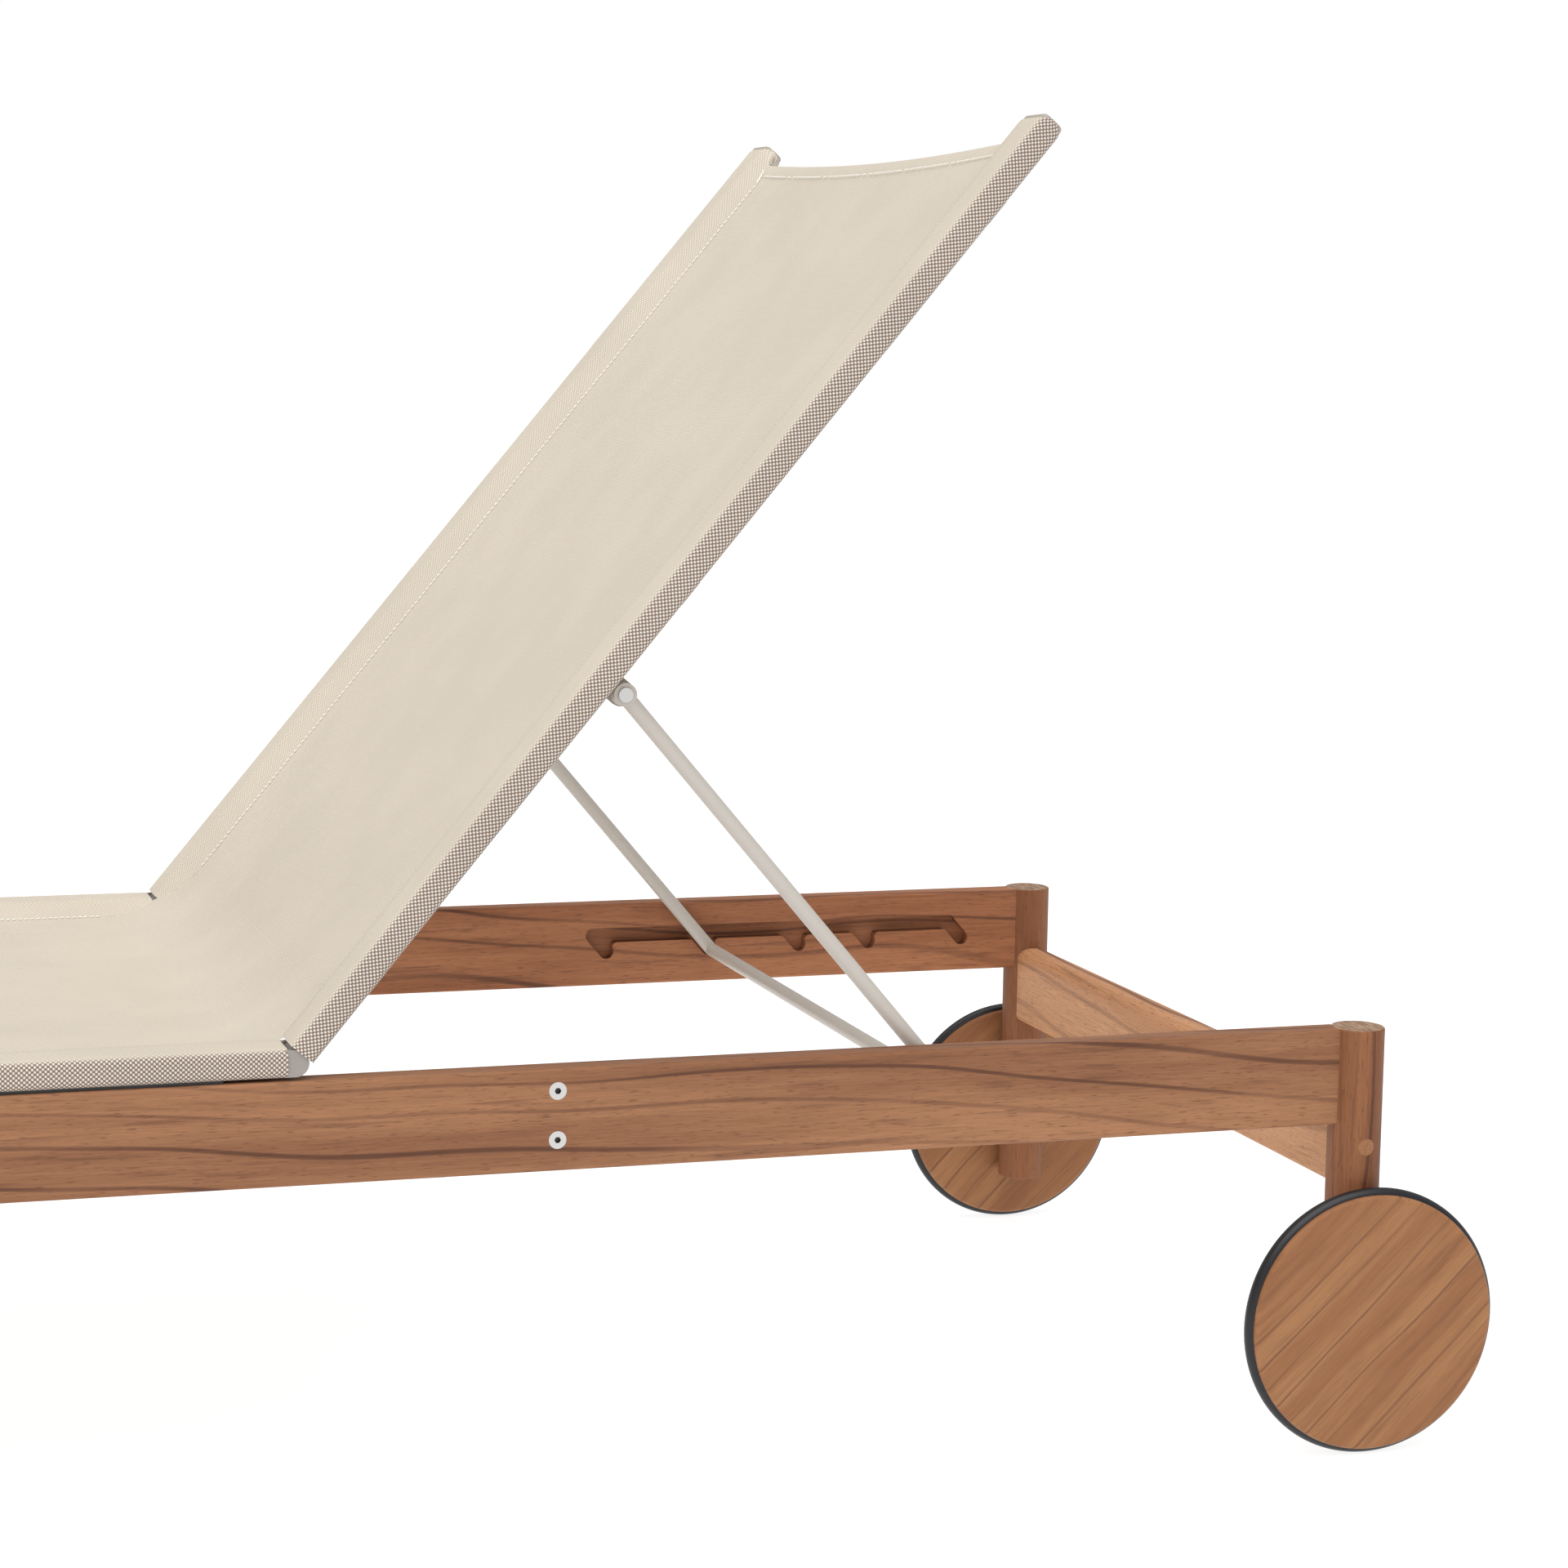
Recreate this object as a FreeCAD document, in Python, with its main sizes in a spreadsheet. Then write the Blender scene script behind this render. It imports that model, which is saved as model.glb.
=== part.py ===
import FreeCAD, Part
import os
import re
import Sketcher

# Reclining sun lounger: a teak frame on two legs and two wheels, with a sling seat, a sling
# backrest that turns on a pair of hinges, and a prop whose cross bar drops into notched slots.
#
# Frame, in millimetres: +X runs from the foot end to the head end, +Y to the right-hand side
# of the frame, +Z up. The origin is on the floor, in the middle of the length and the width.
# The backrest is drawn lying flat, with its own X along it, its Z square to it and its origin
# on the hinge axis, and is then turned up by its recline angle. The prop is drawn the same
# way, with its origin on its pivot.

# ---------------------------------------------------------------------------- driving sizes

SIZES = [
    # whole lounger
    ("overall_length", 2000, "foot end of the seat frame to the back of the tyres"),
    ("rail_top_height", 305, "top of the side rails above the floor"),
    ("frame_width", 656, "outer face to outer face of the side rails"),
    # side rails
    ("rail_thickness", 20, "across the board"),
    ("rail_height", 70, "depth of the board"),
    ("rail_edge_radius", 2.5, "rounding along the board"),
    ("tenon_length", 14, "how far a rail enters its leg"),
    ("tenon_thickness", 10, "across the tenon"),
    ("tenon_shoulder", 10, "step above and below the tenon"),
    # legs
    ("leg_depth", 38, "leg section along X"),
    ("leg_width", 41, "leg section along Y"),
    ("leg_outset", 2.5, "leg centre outside the rail centre"),
    ("leg_edge_radius", 1.5, "rounding at the ends of a leg"),
    ("head_leg_lift", 45, "underside of the head legs above the floor"),
    ("foot_overhang", 39, "foot end of the seat frame to the foot leg centre"),
    ("glide_height", 4, "foot glide below the leg"),
    ("glide_radius", 15, "foot glide"),
    ("glide_stem_radius", 4, "stem of the foot glide"),
    ("glide_stem_length", 22, "stem of the foot glide"),
    # stretchers between the legs
    ("stretcher_height", 65, "depth of the stretcher"),
    ("stretcher_thickness", 26, "across the stretcher"),
    ("stretcher_drop", 52, "top of the stretcher below the rail top"),
    ("stretcher_top_radius", 10, "rounding of the upper edges"),
    ("stretcher_low_radius", 5, "rounding of the lower edges"),
    ("joint_bolt_radius", 3, "bolt from a leg into a stretcher"),
    ("joint_head_radius", 5, "socket head of that bolt"),
    ("joint_head_length", 6, "socket head of that bolt"),
    ("joint_socket_radius", 2.9, "hexagon socket, to its corners"),
    ("joint_bolt_reach", 36, "bolt inside the stretcher"),
    ("barrel_nut_radius", 5, "cross dowel nut"),
    ("barrel_nut_length", 14, "cross dowel nut"),
    ("barrel_nut_inset", 26, "nut from the inner side of the leg"),
    ("plug_radius", 6, "wooden plug over the bolt head"),
    ("plug_length", 8, "wooden plug over the bolt head"),
    ("hole_clearance", 0.2, "radial room round a bolt"),
    # wheels
    ("tyre_radius", 97, "wheel over its tyre"),
    ("tyre_section", 12, "thickness of the round tyre cord"),
    ("tyre_proud", 4.2, "tyre beyond the rim of the wooden disc"),
    ("disc_thickness", 20, "wooden wheel disc"),
    ("disc_edge_radius", 3, "rounding of the disc's rim"),
    ("axle_radius", 5, "stub axle"),
    ("axle_reach", 15, "stub axle inside the wheel"),
    ("axle_head_radius", 8.5, "hexagon head, to its corners"),
    ("axle_head_length", 5, "hexagon head"),
    ("spot_face_radius", 12, "flat sunk round the axle head"),
    ("spot_face_depth", 8, "flat sunk round the axle head"),
    ("washer_radius", 11, "washers on the axle"),
    ("washer_thickness", 1.2, "washers on the axle"),
    ("side_play", 0.3, "wheel hub to washer"),
    ("bush_radius", 8, "nylon bush in the wheel"),
    ("bush_flange_radius", 13, "flange of the bush"),
    ("bush_flange", 1, "flange of the bush"),
    ("bush_end", 1.5, "closed outer end of the bush"),
    ("axle_end_gap", 0.5, "axle tip to the end of the bush"),
    ("running_clearance", 0.05, "radial room of a turning pin"),
    ("ring_radius", 6.2, "retaining ring on the axle"),
    ("ring_groove_depth", 1, "groove for the ring"),
    ("ring_width", 1.2, "retaining ring"),
    ("ring_place", 11, "ring from the inner face of the wheel"),
    ("ring_play", 0.4, "room round the ring in the bush"),
    # sling tubes
    ("tube_width", 38, "flat oval tube across"),
    ("tube_height", 18, "flat oval tube up"),
    ("tube_wall", 2, "tube wall"),
    ("tube_corner", 5, "outer corner radius"),
    ("fabric_thickness", 1, "sling"),
    ("seat_lift", 2.5, "pads between the rails and the seat tubes"),
    ("pad_width", 12, "pads between the rails and the seat tubes"),
    ("pad_inset", 40, "pads from the ends of the seat tube"),
    ("hinge_setback", 768.5, "head leg centre to the hinge axis"),
    ("seat_gap", 7, "hinge axis to the seat tube"),
    ("back_gap", 10, "hinge axis to the back tube"),
    ("back_length", 806, "hinge axis to the tip of the backrest"),
    ("cap_thickness", 5, "end cap outside the tube"),
    ("cap_insert", 15, "end cap inside the tube"),
    ("cap_edge_radius", 3, "rounding of the end cap"),
    ("hem_inset", 14, "edge of the sling from the tube tip"),
    ("spreader_width", 24, "flat cross tube along the lounger"),
    ("spreader_height", 8, "flat cross tube up"),
    ("spreader_wall", 1.5, "cross tubes"),
    ("spreader_corner", 3, "outer corner radius of the cross tubes"),
    ("spreader_reach", 9, "how far a cross tube goes under a side tube"),
    ("seat_spreader_inset", 225, "first and last seat cross tubes from the tube ends"),
    ("back_spreader_low", 72, "hinge axis to the first back cross tube"),
    ("back_spreader_top_inset", 66, "tip of the backrest to the last cross tube"),
    # hinges
    ("hinge_plug_length", 42, "part of the hinge inside a tube"),
    ("hinge_plug_room", 0.2, "plug to the inside of the tube"),
    ("outer_ear", 4, "thickness of the outer ear"),
    ("outer_ear_inset", 1, "outer ear from the tube's outer face"),
    ("inner_ear", 6, "thickness of the inner ear"),
    ("tongue_radius", 6.3, "moving hinge tongue"),
    ("tongue_side_gap", 0.3, "tongue to each ear"),
    ("hinge_pin_radius", 3, "hinge pin"),
    ("pin_cover", 1, "ear left over the end of the pin"),
    # brackets between the seat tubes and the rails
    ("bracket_thickness", 3, "steel bracket"),
    ("bracket_top_gap", 4, "bracket plate below the rail top"),
    ("bracket_height", 54, "bracket plate"),
    ("bracket_flange_start", 120, "hinge axis back to the start of the flange"),
    ("bracket_flange_end", 14, "hinge axis back to the end of the flange"),
    ("bracket_end_margin", 9, "last bolt to the end of the bracket"),
    ("head_bolt_reach", 175.5, "hinge axis to the head bolts"),
    ("foot_bracket_start", 60, "foot leg centre to the foot bracket"),
    ("foot_bracket_length", 110, "foot bracket"),
    ("bolt_radius", 3, "rail bolts"),
    ("bolt_head_radius", 6, "countersunk head"),
    ("bolt_socket_radius", 2.3, "hexagon socket, to its corners"),
    ("bolt_socket_depth", 2.2, "hexagon socket"),
    ("bolt_drop", 15.3, "upper bolt below the rail top"),
    ("bolt_spacing", 33.4, "upper bolt to lower bolt"),
    ("bolt_tail", 1.5, "bolt past its nut"),
    ("nut_radius", 5.8, "hexagon nut, to its corners"),
    ("nut_thickness", 5, "hexagon nut"),
    ("screw_radius", 2.5, "screws from a bracket into a seat tube"),
    ("screw_head_radius", 4.5, "screws from a bracket into a seat tube"),
    ("screw_head_height", 2, "screws from a bracket into a seat tube"),
    ("screw_margin", 16, "screws from the ends of the flange"),
    # prop and its slots
    ("recline_full", 60, "backrest angle with the prop in the first notch"),
    ("recline_rest", 50.3, "backrest angle with the prop in the second notch"),
    ("recline_third", 40.1, "backrest angle with the prop in the third notch"),
    ("recline_fourth", 30.2, "backrest angle with the prop in the fourth notch"),
    ("recline_flat", 0, "backrest angle with the prop in the last notch"),
    ("pivot_along", 325, "hinge axis to the prop pivot, along the backrest"),
    ("pivot_drop", 23.5, "prop pivot below the middle of the back tube"),
    ("prop_length", 378.2, "prop pivot to cross bar"),
    ("prop_radius", 5.5, "prop rod"),
    ("prop_side_gap", 2.5, "prop leg to the rail"),
    ("eye_radius", 8, "eye at the top of a prop leg"),
    ("pivot_pin_radius", 3, "prop pivot pin"),
    ("pivot_head_radius", 5, "prop pivot pin head"),
    ("pivot_head", 1, "prop pivot pin head"),
    ("lug_thickness", 3.5, "lug under the back tube"),
    ("lug_radius", 9, "lug under the back tube"),
    ("lug_foot", 2.5, "foot plate of the lug"),
    ("lug_foot_half", 17, "half length of the foot plate"),
    ("lug_side_gap", 0.3, "lug to prop leg"),
    ("slot_width", 12.5, "slot and notches"),
    ("slot_depth", 10, "slot in the inner face of the rail"),
    ("slot_drop", 27, "middle of the slot below the rail top"),
    ("notch_drop", 41, "seat of a notch below the rail top"),
    ("notch_lean", 12, "how far a notch leans towards the head"),
    ("slot_corner", 4, "rounding where a notch leaves the slot"),
]

# Places that follow from the sizes.
PLACES = {
    "head_x": "overall_length / 2 - tyre_radius",
    "foot_x": "foot_overhang - overall_length / 2",
    "rail_out": "frame_width / 2",
    "rail_in": "frame_width / 2 - rail_thickness",
    "rail_bottom": "rail_top_height - rail_height",
    "leg_y": "frame_width / 2 - rail_thickness / 2 + leg_outset",
    "leg_out": "leg_y + leg_width / 2",
    "leg_in": "leg_y - leg_width / 2",
    "disc_radius": "tyre_radius - tyre_proud",
    "wheel_in": "leg_out + washer_thickness + side_play + bush_flange",
    "stretcher_top": "rail_top_height - stretcher_drop",
    "stretcher_z": "stretcher_top - stretcher_height / 2",
    "tube_out": "frame_width / 2 - fabric_thickness",
    "tube_in": "tube_out - tube_width",
    "tube_low": "rail_top_height + seat_lift",
    "hinge_x": "head_x - hinge_setback",
    "hinge_z": "tube_low + tube_height / 2",
    "seat_start": "0 - overall_length / 2",
    "seat_end": "hinge_x - seat_gap",
    "hollow_out": "tube_out - tube_wall - hinge_plug_room",
    "hollow_in": "tube_in + tube_wall + hinge_plug_room",
    "hollow_half": "tube_height / 2 - tube_wall - hinge_plug_room",
    "ear_radius": "tube_height / 2",
    "outer_ear_out": "tube_out - outer_ear_inset",
    "outer_ear_in": "outer_ear_out - outer_ear",
    "tongue_out": "outer_ear_in - tongue_side_gap",
    "tongue_in": "hollow_in + inner_ear + tongue_side_gap",
    "plate_in": "rail_in - bracket_thickness",
    "head_bolt_x": "hinge_x + head_bolt_reach",
    "foot_bolt_x": "foot_x + foot_bracket_start + foot_bracket_length - bracket_end_margin",
    "upper_bolt_z": "rail_top_height - bolt_drop",
    "lower_bolt_z": "upper_bolt_z - bolt_spacing",
    "prop_y": "rail_in - prop_side_gap - prop_radius",
    "lug_out": "prop_y - prop_radius - lug_side_gap",
    "lug_in": "lug_out - lug_thickness",
    "slot_z": "rail_top_height - slot_drop",
    "notch_z": "rail_top_height - notch_drop",
}

doc = FreeCAD.newDocument("SunLounger")
sheet = doc.addObject("Spreadsheet::Sheet", "Sizes")
for row, (alias, value, note) in enumerate(SIZES, start=1):
    sheet.set(f"A{row}", alias)
    sheet.set(f"B{row}", str(value))
    sheet.setAlias(f"B{row}", alias)
    sheet.set(f"C{row}", note)
doc.recompute()

ALIASES = {alias for alias, _, _ in SIZES}
AXES = {
    "X": FreeCAD.Rotation(FreeCAD.Vector(0, 1, 0), 90),
    "Y": FreeCAD.Rotation(FreeCAD.Vector(1, 0, 0), -90),
    "Z": FreeCAD.Rotation(),
}
subparts = []


# ---------------------------------------------------------------------------- small helpers

def formula(text):
    """Write place names out in full and point size names at the sheet."""
    def spell(match):
        word = match.group(0)
        if word in PLACES:
            return "(" + formula(PLACES[word]) + ")"
        return "Sizes." + word if word in ALIASES else word
    return re.sub(r"[A-Za-z_]\w*", spell, str(text))


def bind(thing, **formulas):
    """Bind properties of an object to formulas; double underscores stand for dots."""
    for name, text in formulas.items():
        thing.setExpression(name.replace("__", "."), formula(text))
    return thing


def put(thing, x=0, y=0, z=0):
    """Bind the position of an object."""
    return bind(thing, Placement__Base__x=x, Placement__Base__y=y, Placement__Base__z=z)


def turn(thing, angle, x, y, z):
    """Turn an object up about the Y axis by a bound angle, then bind its position."""
    thing.Placement = FreeCAD.Placement(FreeCAD.Vector(), FreeCAD.Rotation(FreeCAD.Vector(0, -1, 0), 1))
    bind(thing, Placement__Rotation__Angle=angle)
    return put(thing, x, y, z)


def box(name, x, y, z):
    """A block between pairs of formulas along each axis."""
    thing = doc.addObject("Part::Box", name)
    bind(thing, Length=f"({x[1]}) - ({x[0]})", Width=f"({y[1]}) - ({y[0]})", Height=f"({z[1]}) - ({z[0]})")
    return put(thing, x[0], y[0], z[0])


def rod(name, radius, length, axis, x=0, y=0, z=0):
    """A cylinder that starts at a point and runs along a row axis."""
    thing = doc.addObject("Part::Cylinder", name)
    thing.Placement = FreeCAD.Placement(FreeCAD.Vector(), AXES[axis])
    return put(bind(thing, Radius=radius, Height=length), x, y, z)


def hexagon(name, corner_radius, length, axis, x=0, y=0, z=0):
    """A hexagonal prism that starts at a point and runs along a row axis."""
    thing = doc.addObject("Part::Prism", name)
    thing.Polygon = 6
    thing.Placement = FreeCAD.Placement(FreeCAD.Vector(), AXES[axis])
    return put(bind(thing, Circumradius=corner_radius, Height=length), x, y, z)


def fuse(name, *parts):
    thing = doc.addObject("Part::MultiFuse", name)
    thing.Shapes = list(parts)
    return thing


def cut(name, base, *tools):
    thing = doc.addObject("Part::Cut", name)
    thing.Base = base
    thing.Tool = tools[0] if len(tools) == 1 else fuse(name + "_tools", *tools)
    return thing


def group(name, *parts):
    """Several separate solids in one node."""
    thing = doc.addObject("Part::Compound", name)
    thing.Links = list(parts)
    return thing


def rounded(name, base, radius, choose):
    """Round the edges that the choose function picks."""
    doc.recompute()
    thing = doc.addObject("Part::Fillet", name)
    thing.Base = base
    size = float(sheet.get(radius))
    thing.Edges = [(i, size, size) for i, edge in enumerate(base.Shape.Edges, start=1) if choose(edge)]
    return thing


def runs_along(edge, axis):
    """Whether an edge is a straight line along a row axis."""
    if type(edge.Curve).__name__ not in ("Line", "LineSegment"):
        return False
    start, end = edge.Vertexes[0].Point, edge.Vertexes[-1].Point
    return abs((end - start).normalize().dot(axis)) > 0.999


def along_x(edge):
    return runs_along(edge, FreeCAD.Vector(1, 0, 0))


def along_y(edge):
    return runs_along(edge, FreeCAD.Vector(0, 1, 0))


def keep(label, thing):
    """Give a finished sub-part its name."""
    thing.Label = label
    subparts.append(thing)
    return thing


def keep_pair(label, right):
    """Keep a right-hand sub-part and its mirror image on the left."""
    keep(label + "_right", right)
    return keep(label + "_left", mirrored(label + "_mirror", right))


def keep_both(label, right):
    """Keep a right-hand sub-part and its mirror image together in one node."""
    return keep(label, group(label, *right, *(mirrored(thing.Name + "_left", thing) for thing in right)))


def mirrored(name, source):
    thing = doc.addObject("Part::Mirroring", name)
    thing.Source = source
    thing.Normal = (0, 1, 0)
    return thing


def new_body(name):
    return doc.addObject("PartDesign::Body", name)


def origin_feature(body, role):
    return next(feature for feature in body.Origin.OriginFeatures if feature.Role == role)


def new_sketch(body, name, role):
    sketch = body.newObject("Sketcher::SketchObject", name)
    sketch.AttachmentSupport = [(origin_feature(body, role), "")]
    sketch.MapMode = "FlatFace"
    return sketch


def circle_sketch(body, name, role, radius, across="0", up="0"):
    """A sketch of one circle whose radius and centre are bound to formulas."""
    sketch = new_sketch(body, name, role)
    centre = FreeCAD.Vector(5, 5, 0)
    sketch.addGeometry(Part.Circle(centre, FreeCAD.Vector(0, 0, 1), 1), False)
    for constraint in (
        Sketcher.Constraint("Radius", 0, 1.0),
        Sketcher.Constraint("DistanceX", -1, 1, 0, 3, 5.0),
        Sketcher.Constraint("DistanceY", -1, 1, 0, 3, 5.0),
    ):
        sketch.addConstraint(constraint)
    sketch.renameConstraint(0, "radius")
    sketch.renameConstraint(1, "across")
    sketch.renameConstraint(2, "up")
    bind(sketch, Constraints__radius=radius, Constraints__across=across, Constraints__up=up)
    return sketch


# ------------------------------------------------------------------------------- linkage

def pivot_x(angle):
    return f"(hinge_x + pivot_along * cos({angle} * 1deg) + pivot_drop * sin({angle} * 1deg))"


def pivot_z(angle):
    return f"(hinge_z + pivot_along * sin({angle} * 1deg) - pivot_drop * cos({angle} * 1deg))"


def notch_x(angle):
    """Where the cross bar sits when the backrest is up by an angle."""
    fall = f"({pivot_z(angle)} - notch_z)"
    return f"({pivot_x(angle)} + sqrt(prop_length ^ 2 - {fall} ^ 2))"


def prop_angle(angle):
    """Slope of the prop legs when the backrest is up by an angle, negative downwards."""
    return f"(0 - 1) * asin(({pivot_z(angle)} - notch_z) / prop_length)"


RECLINES = ("recline_full", "recline_rest", "recline_third", "recline_fourth", "recline_flat")


# -------------------------------------------------------------------------- timber frame

def leg_blank(name, x, low, high):
    """An oval column, standing at one X on the right-hand side."""
    outline = doc.addObject("Part::Ellipse", name + "_outline")
    bind(outline, MajorRadius="leg_width / 2", MinorRadius="leg_depth / 2")
    outline.Placement = FreeCAD.Placement(FreeCAD.Vector(), FreeCAD.Rotation(FreeCAD.Vector(0, 0, 1), 90))
    put(outline, x, "leg_y", low)
    column = doc.addObject("Part::Extrusion", name)
    column.Base = outline
    column.DirMode = "Custom"
    column.Dir = (0, 0, 1)
    column.Solid = True
    return bind(column, LengthFwd=f"({high}) - ({low})")


def end_ellipse(edge):
    return type(edge.Curve).__name__ == "Ellipse"


def tenon(name, leg_x, side):
    """Tongue of the rail inside a leg; side is +1 where the leg is at the rail's head end."""
    shoulder = f"{leg_x} - {side} * (leg_depth / 2 + tenon_length / 2)"
    tip = f"{leg_x} - {side} * (leg_depth / 2 - tenon_length)"
    x = (shoulder, tip) if side > 0 else (tip, shoulder)
    y = ("frame_width / 2 - rail_thickness / 2 - tenon_thickness / 2",
         "frame_width / 2 - rail_thickness / 2 + tenon_thickness / 2")
    return box(name, x, y, ("rail_bottom + tenon_shoulder", "rail_top_height - tenon_shoulder"))


def countersunk_hole(name, x, z):
    """Hole for a rail bolt, with its countersink at the outer face of the rail."""
    hole = rod(name + "_hole", "bolt_radius + hole_clearance", "rail_thickness + 2", "Y", x, "rail_in - 1", z)
    sink = doc.addObject("Part::Cone", name + "_sink")
    sink.Placement = FreeCAD.Placement(FreeCAD.Vector(), AXES["Y"])
    bind(sink, Radius1="bolt_radius", Radius2="bolt_head_radius", Height="bolt_head_radius - bolt_radius")
    put(sink, x, "rail_out - (bolt_head_radius - bolt_radius)", z)
    return fuse(name, hole, sink)


def bolt_places():
    """Name, X and Z of each bolt through the right-hand rail."""
    for end in ("head", "foot"):
        for level in ("upper", "lower"):
            yield f"{end}_{level}", f"{end}_bolt_x", f"{level}_bolt_z"


def slot_cutter():
    """The slot along the inner face of the rail, with five leaning notches below it."""
    depth = "slot_depth + 1"
    first = f"({notch_x('recline_full')} - notch_lean)"
    last = f"({notch_x('recline_flat')} - notch_lean)"
    channel = box("slot_channel", (first, last), ("rail_in - 1", "rail_in + slot_depth"),
                  ("slot_z - slot_width / 2", "slot_z + slot_width / 2"))
    pieces = [channel]
    for number, angle in enumerate(RECLINES, start=1):
        seat = notch_x(angle)
        mouth = f"({seat} - notch_lean)"
        fall = "(notch_drop - slot_drop)"
        run = f"sqrt(notch_lean ^ 2 + {fall} ^ 2)"
        half = "slot_width / 2"
        pieces.append(rod(f"notch_{number}_seat", half, depth, "Y", seat, "rail_in - 1", "notch_z"))
        pieces.append(rod(f"notch_{number}_mouth", half, depth, "Y", mouth, "rail_in - 1", "slot_z"))
        arm = doc.addObject("Part::Box", f"notch_{number}_arm")
        bind(arm, Length=run, Width=depth, Height="slot_width")
        turn(arm, f"(0 - 1) * atan({fall} / notch_lean)",
             f"{mouth} - {half} * {fall} / {run}", "rail_in - 1", f"slot_z - {half} * notch_lean / {run}")
        pieces.append(arm)
    sharp = fuse("slot_sharp", *pieces)
    doc.recompute()

    def at_notch_mouth(edge):
        return along_y(edge) and abs(edge.Vertexes[0].Point.z - channel.Shape.BoundBox.ZMin) < 0.01
    smooth = doc.addObject("Part::Refine", "slot_refined")
    smooth.Source = sharp
    return rounded("slot_cutter", smooth, "slot_corner", at_notch_mouth)


def make_rails(head_column, foot_column):
    board = box("rail_board", ("foot_x", "head_x"), ("rail_in", "rail_out"),
                ("rail_bottom", "rail_top_height"))
    eased = rounded("rail_eased", board, "rail_edge_radius", along_x)
    holes = [countersunk_hole("rail_" + name, x, z) for name, x, z in bolt_places()]
    coped = cut("rail_coped", eased, head_column, foot_column, slot_cutter(), *holes)
    tongues = [tenon("rail_head_tenon", "head_x", 1), tenon("rail_foot_tenon", "foot_x", -1)]
    keep_pair("rail", fuse("rail", coped, *tongues))


def joint_bolt(name, x):
    """Bolt from the outer side of a leg into a stretcher, seen from the right-hand side."""
    head_in = "leg_out - plug_length - joint_head_length"
    shank = rod(name + "_shank", "joint_bolt_radius", f"({head_in}) - (leg_in - joint_bolt_reach)", "Y",
                x, "leg_in - joint_bolt_reach", "stretcher_z")
    head = rod(name + "_head", "joint_head_radius", "joint_head_length", "Y", x, head_in, "stretcher_z")
    socket = hexagon(name + "_socket", "joint_socket_radius", "joint_head_length", "Y",
                     x, "leg_out - plug_length - joint_head_length / 2", "stretcher_z")
    return cut(name, fuse(name + "_solid", shank, head), socket)


def joint_bore(name, x):
    """Room for the bolt and the plug in a leg and a stretcher."""
    shank = rod(name + "_shank", "joint_bolt_radius + hole_clearance",
                "leg_width + joint_bolt_reach + 2", "Y", x, "leg_in - joint_bolt_reach - 1", "stretcher_z")
    head = rod(name + "_head", "plug_radius", "plug_length + joint_head_length + leg_width", "Y",
               x, "leg_out - plug_length - joint_head_length", "stretcher_z")
    return fuse(name, shank, head)


def make_leg(end, x, low):
    """Right-hand leg with its mortise, bolt bore and, at the head end, its axle bore."""
    column = leg_blank(f"{end}_column", x, low, "rail_top_height")
    eased = rounded(f"{end}_leg_eased", column, "leg_edge_radius", end_ellipse)
    tools = [tenon(f"{end}_mortise", x, 1 if end == "head" else -1), joint_bore(f"{end}_joint_bore", x)]
    if end == "head":
        for name, radius, depth in (("axle_bore", "axle_radius + hole_clearance", "leg_width + 2"),
                                    ("axle_spot_face", "spot_face_radius", "spot_face_depth + 1")):
            tools.append(rod(name, radius, depth, "Y", x, "leg_in - 1", "tyre_radius"))
    else:
        tools.append(rod("glide_bore", "glide_stem_radius", "glide_stem_length", "Z",
                         x, "leg_y", "glide_height"))
    keep_pair(f"{end}_leg", cut(f"{end}_leg", eased, *tools))
    return column


def make_stretcher(end, x, column):
    """Board between two legs, hollowed at its ends to fit them."""
    board = box(f"{end}_stretcher_board",
                (f"{x} - stretcher_thickness / 2", f"{x} + stretcher_thickness / 2"),
                ("0 - leg_y", "leg_y"), ("stretcher_top - stretcher_height", "stretcher_top"))
    top = rounded(f"{end}_stretcher_top", board, "stretcher_top_radius",
                  lambda edge: along_y(edge) and edge.CenterOfMass.z > board.Shape.CenterOfMass.z)
    eased = rounded(f"{end}_stretcher_eased", top, "stretcher_low_radius",
                    lambda edge: along_y(edge) and edge.CenterOfMass.z < board.Shape.BoundBox.ZMin + 0.1)
    bore = joint_bore(f"{end}_stretcher_bore", x)
    nut_bore = rod(f"{end}_nut_bore", "barrel_nut_radius", "(stretcher_height + barrel_nut_length) / 2", "Z",
                   x, "leg_in - barrel_nut_inset", "stretcher_top - stretcher_height")
    right = fuse(f"{end}_stretcher_right_tools", column, bore, nut_bore)
    left = mirrored(f"{end}_stretcher_left_tools", right)
    keep(f"{end}_stretcher", cut(f"{end}_stretcher", eased, right, left))


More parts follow.
